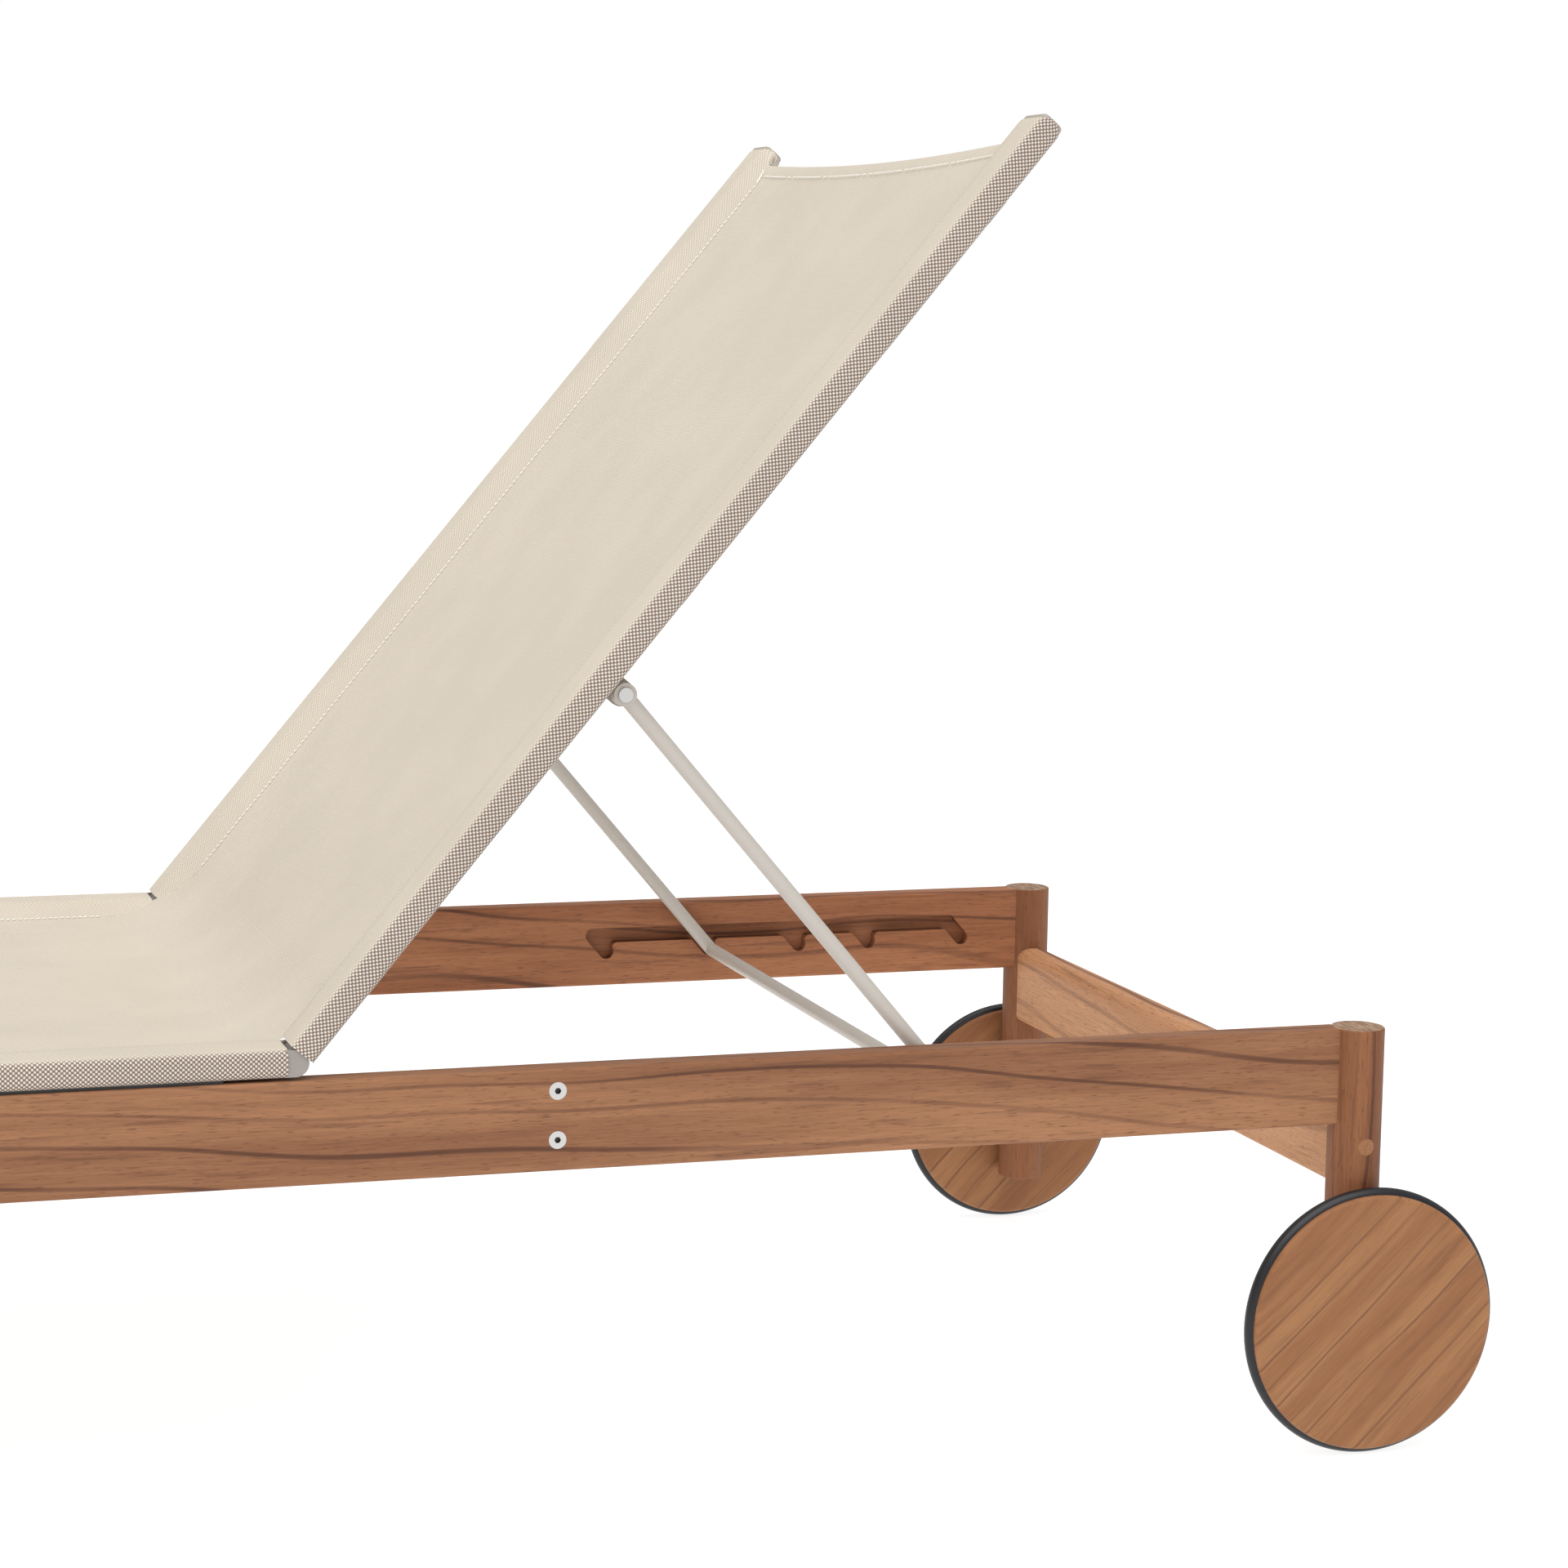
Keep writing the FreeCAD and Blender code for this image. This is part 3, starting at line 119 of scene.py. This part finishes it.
def sag_at(y):
    return -SAG * (1 - (y / SEAM_Y) ** 2) if abs(y) < SEAM_Y else 0.0


def hem_at(y):
    """How far the hem lies from the tip of the pockets, along the panel."""
    return HEM_MIDDLE + HEM_RISE * (y / SEAM_Y) ** 2


def profile():
    """Half section of the cloth, from the middle out: (y, n, is_pocket)."""
    sheet = [(y, sag_at(y), False) for y in np.linspace(0, SEAM_Y, 13)]
    top = HALF + SKIN
    corner = TUBE_CORNER + SKIN
    slope_end = tube_in + 0.003
    hollow = 0.12
    loop = []
    for t in (0.25, 0.5, 0.75, 0.93, 1):
        loop.append((SEAM_Y + (slope_end - SEAM_Y) * t, top * (t - hollow * math.sin(math.pi * t))))
    y_arc, n_arc = tube_out - TUBE_CORNER, HALF - TUBE_CORNER
    for y in np.linspace(tube_in + 0.011, y_arc, 4):
        loop.append((y, top))
    for a in np.linspace(15, 90, 6):
        turn = math.radians(a)
        loop.append((y_arc + corner * math.sin(turn), n_arc + corner * math.cos(turn)))
    loop.append((tube_out + SKIN, 0.0))
    loop += [(y, -n) for y, n in reversed(loop[:-1])]
    loop.append((SEAM_Y, -0.0004))
    return sheet + [(y, n, True) for y, n in loop]


def pocket_end(y, n, end, roll, k):
    """Step k of the round, narrowing end of a pocket."""
    turn = math.radians(90 * k / TURNS)
    reach = abs(y)
    if reach > tube_middle:
        narrow = 1 - 0.35 * (1 - math.cos(turn)) ** 2
        y = math.copysign(tube_middle + (reach - tube_middle) * narrow, y)
    return (end - roll + roll * math.sin(turn), y, n * math.cos(turn) ** 0.75)


def hem_fold(y, n, end, k):
    """Step k of the sheet's hem: round the fold, then back along its underside."""
    if k <= HEM_ROLL_STEPS:
        turn = math.radians(180 * k / HEM_ROLL_STEPS)
        return (end + HEM_ROLL * math.sin(turn), y, n - HEM_ROLL * (1 - math.cos(turn)))
    back = (k - HEM_ROLL_STEPS) / (TURNS - HEM_ROLL_STEPS)
    return (end - HEM_DEPTH * back, y, n - 2 * HEM_ROLL)


def panel(name, place, tip, start, flip):
    """One panel of the sling with a pocket along each side, closed round the tube ends."""
    half = profile()
    arc = [0.0]
    for a, b in zip(half, half[1:]):
        arc.append(arc[-1] + math.hypot(b[0] - a[0], b[1] - a[1]))
    columns = [(-y, n, pocket, -v) for (y, n, pocket), v in zip(half, arc)][:0:-1]
    columns += [(y, n, pocket, v) for (y, n, pocket), v in zip(half, arc)]
    verts, uvs = [], []
    for y, n, pocket, v in columns:
        reach = abs(y)
        if pocket:
            out = ease((reach - SEAM_Y) / (tube_in + POCKET_RAMP - SEAM_Y))
            end = tip + hem_at(SEAM_Y) * (1 - out) + POCKET_PAST_TIP * out
            begin = CREASE + (start - CREASE) * ease((reach - SEAM_Y) / 0.006)
            roll = POCKET_EDGE + (POCKET_NOSE - POCKET_EDGE) * out
        else:
            end, begin, roll = tip + hem_at(reach), CREASE, 0.0
        line = []
        for r in range(ROWS + 1):
            t = r / ROWS - END_ROWS * math.sin(2 * math.pi * r / ROWS)
            line.append((begin + (end - roll - begin) * t, y, n))
        for k in range(1, TURNS + 1):
            line.append(pocket_end(y, n, end, roll, k) if pocket else hem_fold(y, n, end, k))
        for s, w, h in line:
            taut = 0.0 if pocket else ease((s - tip + HEM_TAUT) / HEM_TAUT)
            verts.append(place(s, w, h - n * (1 - HEM_SAG) * taut))
            uvs.append((s, v))
    per = ROWS + 1 + TURNS
    faces = []
    for i in range(len(columns) - 1):
        for j in range(per - 1):
            a, b = i * per + j, (i + 1) * per + j
            quad = (a, a + 1, b + 1, b)
            faces.append(quad[::-1] if flip else quad)
    return mesh_object(name, verts, faces, uvs)


def crease_strip():
    """The short run of cloth between the two panels, over the hinge line."""
    ys = np.linspace(-tube_in, tube_in, 29)
    steps = 16
    verts, uvs = [], []
    lean = math.tan(RECLINE / 2)
    for y in ys:
        n = sag_at(y)
        seat_end = Vector(seat_point(CREASE, y, n))
        back_end = Vector(back_point(CREASE, y, n))
        corner = Vector((HINGE.x - n * lean, y, HINGE.z + n))
        for k in range(steps + 1):
            t = k / steps
            verts.append(seat_end * (1 - t) ** 2 + corner * 2 * t * (1 - t) + back_end * t * t)
            uvs.append((-CREASE + 2 * CREASE * t, y))
    per = steps + 1
    faces = [(i * per + j, (i + 1) * per + j, (i + 1) * per + j + 1, i * per + j + 1)
             for i in range(len(ys) - 1) for j in range(steps)]
    return mesh_object("sling_crease", verts, faces, uvs)


# -------------------------------------------------------------------------------- stitches
STITCH = 0.0034
STITCH_GAP = 0.0013
SHORTEST_STITCH = 0.0012
THREAD_WIDTH = 0.0011
THREAD_RISE = 0.0009
THREAD_SIDES = 6
THREAD_RINGS = ((0, 0.35), (0.2, 1), (0.8, 1), (1, 0.35))   # (place along the stitch, fullness)
HEM_THREAD = 0.0115       # hem stitches below the edge
PATCH_STITCH = 0.003
PATCH_GAP = 0.0003


def stitches(name, place, runs):
    """Short rounded threads, one for each pair of (s, y, n) points."""
    verts, faces = [], []
    up = Vector((0, 0, 1))
    for run in runs:
        for start, end in run:
            a, b = Vector(start), Vector(end)
            side = (b - a).normalized().cross(up).normalized()
            first = len(verts)
            for t, full in THREAD_RINGS:
                for corner in range(THREAD_SIDES):
                    turn = math.radians(360 / THREAD_SIDES * corner)
                    across = side * (THREAD_WIDTH / 2 * full * math.cos(turn))
                    rise = up * (THREAD_RISE * (0.3 + 0.7 * full * math.sin(turn)))
                    verts.append(place(*(a + (b - a) * t + (across + rise))))
            for ring in range(len(THREAD_RINGS) - 1):
                for corner in range(THREAD_SIDES):
                    p = first + ring * THREAD_SIDES + corner
                    q = first + ring * THREAD_SIDES + (corner + 1) % THREAD_SIDES
                    faces.append((p, q, q + THREAD_SIDES, p + THREAD_SIDES))
            last = first + (len(THREAD_RINGS) - 1) * THREAD_SIDES
            faces.append(tuple(first + k for k in range(THREAD_SIDES - 1, -1, -1)))
            faces.append(tuple(last + k for k in range(THREAD_SIDES)))
    return mesh_object(name, verts, faces)


def dashes(start, end, stitch=STITCH, gap=STITCH_GAP):
    """Cut a straight line into stitches."""
    a, b = Vector(start), Vector(end)
    step = stitch + gap
    total = (b - a).length
    return [(a + (b - a) * (k * step / total), a + (b - a) * ((k * step + stitch) / total))
            for k in range(int(total / step))]


def hem_stitches(tip):
    """Stitches that follow the curve of the hem from seam to seam."""
    points = [Vector((tip + hem_at(y) - HEM_THREAD, y, sag_at(y) * HEM_SAG + 0.0008))
              for y in np.linspace(-SEAM_Y + 0.006, SEAM_Y - 0.006, 40)]
    out = []
    reach = 0.0
    for a, b in zip(points, points[1:]):
        total = (b - a).length
        while reach < total:
            p = a + (b - a) * (reach / total)
            q = a + (b - a) * min(1.0, (reach + STITCH) / total)
            if (q - p).length > SHORTEST_STITCH:
                out.append((p, q))
            reach += STITCH + STITCH_GAP
        reach -= total
    return out


def stitch_lines(tip):
    """Both side seams with the two slanting rows at their upper corners, and the hem."""
    runs = []
    for sign in (-1, 1):
        y = sign * (SEAM_Y - 0.002)
        runs.append(dashes((0.05, y, 0.0006), (tip - 0.033, y, 0.0006)))
        runs.append(dashes((tip - 0.036, sign * (SEAM_Y - 0.004), 0.001),
                           (tip - 0.022, sign * (SEAM_Y + 0.001), 0.0015), PATCH_STITCH, PATCH_GAP))
        runs.append(dashes((tip - 0.034, sign * (SEAM_Y - 0.001), 0.001),
                           (tip - 0.021, sign * (SEAM_Y + 0.004), 0.002), PATCH_STITCH, PATCH_GAP))
    runs.append(hem_stitches(tip))
    return runs


# -------------------------------------------------------------------------------- materials
class Look:
    """A material and short ways to add its shader nodes."""

    def __init__(self, name, roughness=0.5, metallic=0.0, color=(0.5, 0.5, 0.5), specular=0.5):
        self.material = bpy.data.materials.new(name)
        self.material.use_nodes = True
        self.tree = self.material.node_tree
        self.shader = self.tree.nodes["Principled BSDF"]
        self.shader.inputs["Roughness"].default_value = roughness
        self.shader.inputs["Metallic"].default_value = metallic
        self.shader.inputs["Base Color"].default_value = (*color, 1)
        self.shader.inputs["Specular IOR Level"].default_value = specular

    def node(self, kind, inputs=None, **settings):
        made = self.tree.nodes.new(kind)
        for key, value in settings.items():
            setattr(made, key, value)
        for key, value in (inputs or {}).items():
            socket = made.inputs[key]
            if isinstance(value, bpy.types.NodeSocket):
                self.tree.links.new(value, socket)
            else:
                socket.default_value = value
        return made

    def coords(self, kind="Object"):
        return self.node("ShaderNodeTexCoord").outputs[kind]

    def map(self, vector, scale=(1, 1, 1), turn=(0, 0, 0), shift=(0, 0, 0)):
        return self.node("ShaderNodeMapping", {"Vector": vector, "Scale": scale, "Rotation": turn,
                                               "Location": shift}).outputs[0]

    def noise(self, vector, scale, detail=2.0, rough=0.5):
        return self.node("ShaderNodeTexNoise", {"Vector": vector, "Scale": scale, "Detail": detail,
                                                "Roughness": rough}).outputs[0]

    def wave(self, vector, direction, scale, distortion, detail_scale, detail_rough=0.5):
        settings = {"Vector": vector, "Scale": scale, "Distortion": distortion, "Detail": 1.0,
                    "Detail Scale": detail_scale, "Detail Roughness": detail_rough}
        return self.node("ShaderNodeTexWave", settings, bands_direction=direction).outputs["Fac"]

    def math(self, operation, a, b=0.0):
        return self.node("ShaderNodeMath", {0: a, 1: b}, operation=operation).outputs[0]

    def times(self, a, b):
        return self.math("MULTIPLY", a, b)

    def vector(self, x=0.0, y=0.0, z=0.0):
        return self.node("ShaderNodeCombineXYZ", {0: x, 1: y, 2: z}).outputs[0]

    def moved(self, vector, offset):
        return self.node("ShaderNodeVectorMath", {0: vector, 1: offset}, operation="ADD").outputs[0]

    def span(self, value, low, high, to_low=0.0, to_high=1.0):
        return self.node("ShaderNodeMapRange", {0: value, 1: low, 2: high, 3: to_low, 4: to_high},
                         interpolation_type="SMOOTHSTEP").outputs[0]

    def blend(self, share, a, b, mode="MIX"):
        made = self.node("ShaderNodeMix", data_type="RGBA", blend_type=mode)
        for socket, value in ((made.inputs[0], share), (made.inputs[6], a), (made.inputs[7], b)):
            if isinstance(value, bpy.types.NodeSocket):
                self.tree.links.new(value, socket)
            else:
                socket.default_value = (*value, 1) if isinstance(value, tuple) else value
        return made.outputs[2]

    def shaded(self, color, tone):
        """The colour made lighter or darker by a number."""
        grey = self.node("ShaderNodeCombineColor", {0: tone, 1: tone, 2: tone}).outputs[0]
        return self.blend(1.0, color, grey, "MULTIPLY")

    def split(self, vector):
        return self.node("ShaderNodeSeparateXYZ", {0: vector}).outputs

    def color(self, socket):
        self.tree.links.new(socket, self.shader.inputs["Base Color"])

    def bump(self, height, distance, strength):
        made = self.node("ShaderNodeBump", {"Height": height, "Distance": distance, "Strength": strength})
        self.tree.links.new(made.outputs[0], self.shader.inputs["Normal"])


WOOD_SPECULAR = 0.25
CLOTH_SPECULAR = 0.25
END_LIGHT = (0.44, 0.28, 0.18)
END_DARK = (0.22, 0.125, 0.072)


def teak(name, grain, light=(0.385, 0.182, 0.090), mid=(0.265, 0.114, 0.054), dark=(0.095, 0.036, 0.021),
         shift=(0, 0, 0), lines=0.8, end_grain=False, line_scale=20.0, slot=None):
    """Board with its grain along one axis. Between the two heights of slot, the level faces inside the slot
    get painted shade.
    """
    look = Look(name, roughness=0.55, specular=WOOD_SPECULAR)
    base = look.map(look.coords(), shift=shift)

    def stretched(share):
        return look.map(base, scale=tuple(share if axis == grain else 1 for axis in "XYZ"))

    waver = look.times(look.noise(stretched(0.35), 4.0, 2.0), 0.05)
    figure = look.moved(stretched(0.045), look.vector(waver, waver, waver))
    broad = look.noise(figure, 28.0, 3.0, 0.55)
    streak = look.noise(figure, 170.0, 3.0, 0.6)
    fine = look.noise(stretched(0.03), 900.0, 2.0, 0.6)
    pores = look.noise(stretched(0.09), 1100.0, 1.0, 0.5)
    rings = look.wave(figure, "DIAGONAL", line_scale, 6.0, 0.6, 0.4)
    color = look.blend(look.span(broad, 0.36, 0.66), mid, light)
    color = look.blend(look.times(look.span(streak, 0.53, 0.72), 0.40), color, dark)
    line = look.times(look.span(rings, 0.06, 0.0), look.span(broad, 0.40, 0.62, 1.0, 0.35))
    color = look.blend(look.times(line, lines), color, dark)
    color = look.blend(look.times(look.span(pores, 0.60, 0.72), 0.45), color, dark)
    color = look.shaded(color, look.span(fine, 0.2, 0.8, 0.86, 1.12))
    if end_grain:
        up = look.split(look.coords("Normal"))[2]
        rays = look.noise(look.map(base, scale=(1, 0.16, 1), turn=(0, 0, math.radians(38))), 420.0, 3.0, 0.6)
        end = look.blend(look.span(rays, 0.38, 0.66), END_DARK, END_LIGHT)
        color = look.blend(look.span(up, 0.75, 0.92), color, end)
    if slot:
        low, high = slot
        edge = 0.001
        height = look.split(look.coords())[2]
        level = look.math("ABSOLUTE", look.split(look.coords("Normal"))[2])
        # Painted shade on the upper and lower faces inside the rail's slot.
        slot_shade = look.times(look.span(height, low, low + edge), look.span(height, high, high - edge))
        slot_shade = look.times(slot_shade, look.span(level, 0.5, 0.8))
        color = look.blend(look.times(slot_shade, 0.7), color, dark)
    look.color(color)
    look.bump(look.math("ADD", fine, look.times(pores, 0.6)), 0.00022, 0.6)
    return look.material


def wheel_wood(name, slant):
    """Boards glued side by side, cut to a disc with the grain on a slant."""
    look = Look(name, roughness=0.5, specular=WOOD_SPECULAR)
    base = look.map(look.coords(), turn=(0, slant, 0))
    across = look.split(base)[2]
    upper = look.span(across, 0.1298, 0.1304)
    board = look.math("ADD", upper, look.span(across, 0.0700, 0.0706))
    own_place = look.moved(base, look.vector(look.times(board, 3.7), board, look.times(board, 0.31)))
    waver = look.noise(look.map(own_place, scale=(0.5, 1, 1)), 9.0, 1.0)
    figure = look.moved(look.map(own_place, scale=(0.06, 1, 1)), look.vector(z=look.times(waver, 0.05)))
    broad = look.noise(figure, 42.0, 2.0, 0.5)
    streak = look.noise(figure, 260.0, 2.0, 0.55)
    rings = look.wave(figure, "Z", 15.0, 9.0, 0.5)
    line = look.times(look.span(rings, 0.05, 0.0), look.span(broad, 0.40, 0.60, 0.1, 0.6))
    color = look.blend(look.span(broad, 0.38, 0.64), (0.300, 0.128, 0.053), (0.375, 0.175, 0.075))
    color = look.blend(look.times(upper, 0.62), color, (0.165, 0.064, 0.030))
    color = look.blend(look.times(look.span(streak, 0.5, 0.68), 0.25), color, (0.15, 0.062, 0.034))
    color = look.blend(line, color, (0.13, 0.052, 0.030))
    fine = look.noise(look.map(base, scale=(0.05, 1, 1)), 1000.0, 2.0, 0.6)
    look.color(look.shaded(color, look.span(fine, 0.2, 0.8, 0.90, 1.10)))
    look.bump(fine, 0.00015, 0.5)
    return look.material


# Distance from the middle, along the cloth, at which it turns down over the side of the tube
# and at which it turns in under it: (start of the turn, end of the turn).
TURN_DOWN = (0.3255, 0.3300)
TURN_UNDER = (0.3560, 0.3620)


def weave(name):
    """Plain weave: pale yarns across the lounger, brown-grey yarns along it, most seen at the side. The side
    band is also coloured darker as painted shade, and the grooves between the yarns get painted shade.
    """
    look = Look(name, roughness=0.75, specular=CLOTH_SPECULAR)
    u, v, _ = look.split(look.coords("UV"))
    weft = look.math("SINE", look.times(u, math.pi / PITCH_ALONG))
    warp = look.math("SINE", look.times(v, math.pi / PITCH_ACROSS))
    check = look.times(weft, warp)
    pale = look.span(check, -0.30, 0.45)
    beside_warp = look.span(look.math("ABSOLUTE", warp), 0.0, 0.5, 0.65, 1.0)
    valley = look.times(look.math("ABSOLUTE", weft), beside_warp)
    reach = look.math("ABSOLUTE", v)
    side = look.times(look.span(reach, *TURN_DOWN), look.span(reach, *TURN_UNDER[::-1]))
    under = look.span(reach, *TURN_UNDER)
    side_color = look.blend(pale, (0.245, 0.165, 0.120), (0.76, 0.715, 0.655))
    # Painted shade in the grooves between the yarns, strong on the side band.
    side_color = look.blend(look.span(valley, 0.0, 0.55, 0.55, 0.0), side_color, (0.10, 0.065, 0.05))
    top_color = look.blend(pale, (0.55, 0.470, 0.365), (0.72, 0.675, 0.592))
    # Milder painted shade in the grooves on the top.
    top_color = look.blend(look.span(valley, 0.0, 0.5, 0.25, 0.0), top_color, (0.50, 0.40, 0.28))
    # Side band and underside take the darker side colour: partly the brown yarns seen there, partly painted
    # shade.
    color = look.blend(side, top_color, side_color)
    color = look.blend(look.times(under, 0.6), color, side_color)
    cloud = look.noise(look.coords(), 12.0, 2.0)
    look.color(look.shaded(color, look.span(cloud, 0.3, 0.7, 0.975, 1.02)))
    look.bump(look.math("ABSOLUTE", check), 0.00025, 0.7)
    return look.material


def coated(name, color, roughness, grain=1500.0, depth=0.00004, metallic=0.0):
    """Painted or moulded surface with a very fine orange peel."""
    look = Look(name, roughness, metallic, color)
    peel = look.noise(look.coords(), grain, 2.0, 0.5)
    look.color(look.shaded(color, look.span(peel, 0.3, 0.7, 0.96, 1.03)))
    look.bump(peel, depth, 0.5)
    return look.material


STEEL = (0.62, 0.615, 0.60)
# Dark colour painted where the socket lies: painted shade of the recess.
SOCKET_SHADE = (0.045, 0.042, 0.04)


def socket_head(name, face):
    """Satin steel; the hexagon socket, which lies inside the head's outer face, is painted dark as its
    shade.
    """
    look = Look(name, 0.32, 1.0)
    side = look.math("ABSOLUTE", look.split(look.coords())[1])
    look.color(look.blend(look.span(side, face - 0.0012, face - 0.0004), SOCKET_SHADE, STEEL))
    return look.material


SLOT_MARGIN = 0.008       # wood left whole above and below the slot
rail_low, rail_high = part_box("rail_left")
rail_slot = (rail_low.z + SLOT_MARGIN, rail_high.z - SLOT_MARGIN)
looks = {
    "rail_right": teak("teak_rail_far", "X", (0.425, 0.178, 0.084), (0.315, 0.119, 0.053),
                       shift=(3.1, 0.4, 0.9), slot=rail_slot),
    "rail_left": teak("teak_rail_near", "X", shift=(0.35, 0.1, 0.2), slot=rail_slot),
    "leg": teak("teak_leg", "Z", (0.290, 0.116, 0.050), (0.200, 0.074, 0.031), (0.085, 0.032, 0.017),
                end_grain=True, shift=(0.2, 0.7, 0.1), line_scale=24.0),
    "stretcher": teak("teak_stretcher", "Y", (0.60, 0.31, 0.158), (0.50, 0.235, 0.112),
                      shift=(0.5, 0.2, 0.4), line_scale=14.0),
    "wheel": wheel_wood("teak_wheel", math.radians(44)),
    "plug": teak("teak_plug", "Y", (0.37, 0.17, 0.080), (0.29, 0.122, 0.055), lines=0.3,
                 shift=(0.1, 0.3, 0.8)),
    "rubber": coated("tyre_rubber", (0.006, 0.006, 0.009), 0.4, 2200.0),
    "nylon": coated("nylon_black", (0.03, 0.03, 0.03), 0.5),
    "steel": coated("satin_steel", STEEL, 0.32, 2600.0, 0.00002, 1.0),
    "bolt": socket_head("rail_bolt_steel", -rail_low.y),
    "tube": coated("tube_paint", (0.37, 0.33, 0.285), 0.45),
    "cap": coated("cap_plastic", (0.40, 0.355, 0.30), 0.55),
    "hinge": coated("hinge_alloy", (0.36, 0.325, 0.30), 0.42, 1800.0, 0.00003, 0.3),
    "prop": coated("prop_paint", (0.56, 0.515, 0.465), 0.42),
    "cloth": weave("sling_weave"),
    "thread": coated("thread", (0.90, 0.88, 0.82), 0.7, 3000.0),
}

# Look of each node, by the start of its name. The small metal parts that are left are steel.
KINDS = (
    ("rail_right", "rail_right"), ("rail_left", "rail_left"), ("rail_bolts", "bolt"), ("rail_pad", "nylon"),
    ("head_leg", "leg"), ("foot_leg", "leg"), ("leg_plugs", "plug"), ("foot_glide", "nylon"),
    ("head_stretcher", "stretcher"), ("foot_stretcher", "stretcher"),
    ("wheel_disc", "wheel"), ("wheel_bush", "nylon"), ("tyre", "rubber"),
    ("seat_end_cap", "cap"), ("back_end_cap", "cap"), ("seat_tube", "tube"), ("back_tube", "tube"),
    ("seat_spreaders", "tube"), ("back_spreader", "tube"), ("prop_lug", "tube"),
    ("hinge_seat_plate", "hinge"), ("hinge_back_plate", "hinge"),
    ("prop_leg", "prop"), ("prop_crossbar", "prop"), ("sling", "cloth"),
)
for node_name, thing in nodes.items():
    kind = next((kind for prefix, kind in KINDS if node_name.startswith(prefix)), "steel")
    if thing.data.materials:
        for index in range(len(thing.data.materials)):
            thing.data.materials[index] = looks[kind]
    else:
        thing.data.materials.append(looks[kind])

# ------------------------------------------------------------------------------------ sling
SEAT_POCKET_START = 0.0053
BACK_POCKET_START = 0.0072
seat_cloth = panel("sling_seat_cloth", seat_point, FOOT_TIP, SEAT_POCKET_START, True)
back_cloth = panel("sling_back_cloth", back_point, BACK_TIP, BACK_POCKET_START, False)
crease = crease_strip()
seat_thread = stitches("sling_seat_stitches", seat_point, stitch_lines(FOOT_TIP))
back_thread = stitches("sling_back_stitches", back_point, stitch_lines(BACK_TIP))
for thing in (seat_cloth, back_cloth, crease):
    thing.data.materials.append(looks["cloth"])
for thing in (seat_thread, back_thread):
    thing.data.materials.append(looks["thread"])
for thing in (seat_cloth, seat_thread):
    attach(thing, "frame")
for thing in (back_cloth, back_thread):
    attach(thing, "backrest")
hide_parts("sling_seat")
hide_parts("sling_back")
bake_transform(crease)

# ---------------------------------------------------------------------- floor, lights, camera
FLOOR_REACH = 60.0
floor_corners = [(-FLOOR_REACH, -FLOOR_REACH, 0), (FLOOR_REACH, -FLOOR_REACH, 0),
                 (FLOOR_REACH, FLOOR_REACH, 0), (-FLOOR_REACH, FLOOR_REACH, 0)]
floor = mesh_object("studio_floor", floor_corners, [(0, 1, 2, 3)], smooth=False)
floor_look = Look("pale_floor", roughness=0.9, color=(0.30, 0.30, 0.30), specular=0.0)
floor_look.shader.inputs["Emission Color"].default_value = (1, 1, 1, 1)
floor_look.shader.inputs["Emission Strength"].default_value = 0.86
floor.data.materials.append(floor_look.material)

# White all round: full strength where the camera sees it, about half as light on the lounger.
world = bpy.data.worlds.new("studio_world")
bpy.context.scene.world = world
world.use_nodes = True
tree = world.node_tree
background = tree.nodes["Background"]
background.inputs["Color"].default_value = (1, 1, 1, 1)
background.inputs["Strength"].default_value = 0.55
seen = tree.nodes.new("ShaderNodeBackground")
seen.inputs["Color"].default_value = (1, 1, 1, 1)
seen.inputs["Strength"].default_value = 1.0
path = tree.nodes.new("ShaderNodeLightPath")
mix = tree.nodes.new("ShaderNodeMixShader")
tree.links.new(path.outputs["Is Camera Ray"], mix.inputs[0])
tree.links.new(background.outputs[0], mix.inputs[1])
tree.links.new(seen.outputs[0], mix.inputs[2])
tree.links.new(mix.outputs[0], tree.nodes["World Output"].inputs["Surface"])

softbox = bpy.data.lights.new("overhead_softbox", "SUN")
softbox.energy = 2.3
softbox.angle = math.radians(70)
overhead = bpy.data.objects.new("overhead_softbox", softbox)
overhead.rotation_euler = [math.radians(a) for a in (18, -14, 0)]
bpy.context.scene.collection.objects.link(overhead)

camera_data = bpy.data.cameras.new("camera")
camera_data.lens = 83.478
camera_data.sensor_width = 36
camera_data.clip_end = 200
camera = bpy.data.objects.new("camera", camera_data)
camera.location = (-0.28433, -2.63029, 0.81183)
camera.rotation_euler = [math.radians(a) for a in (82.4744, -0.9185, -17.9011)]
bpy.context.scene.collection.objects.link(camera)
bpy.context.scene.camera = camera
bpy.context.scene.view_settings.view_transform = "Standard"
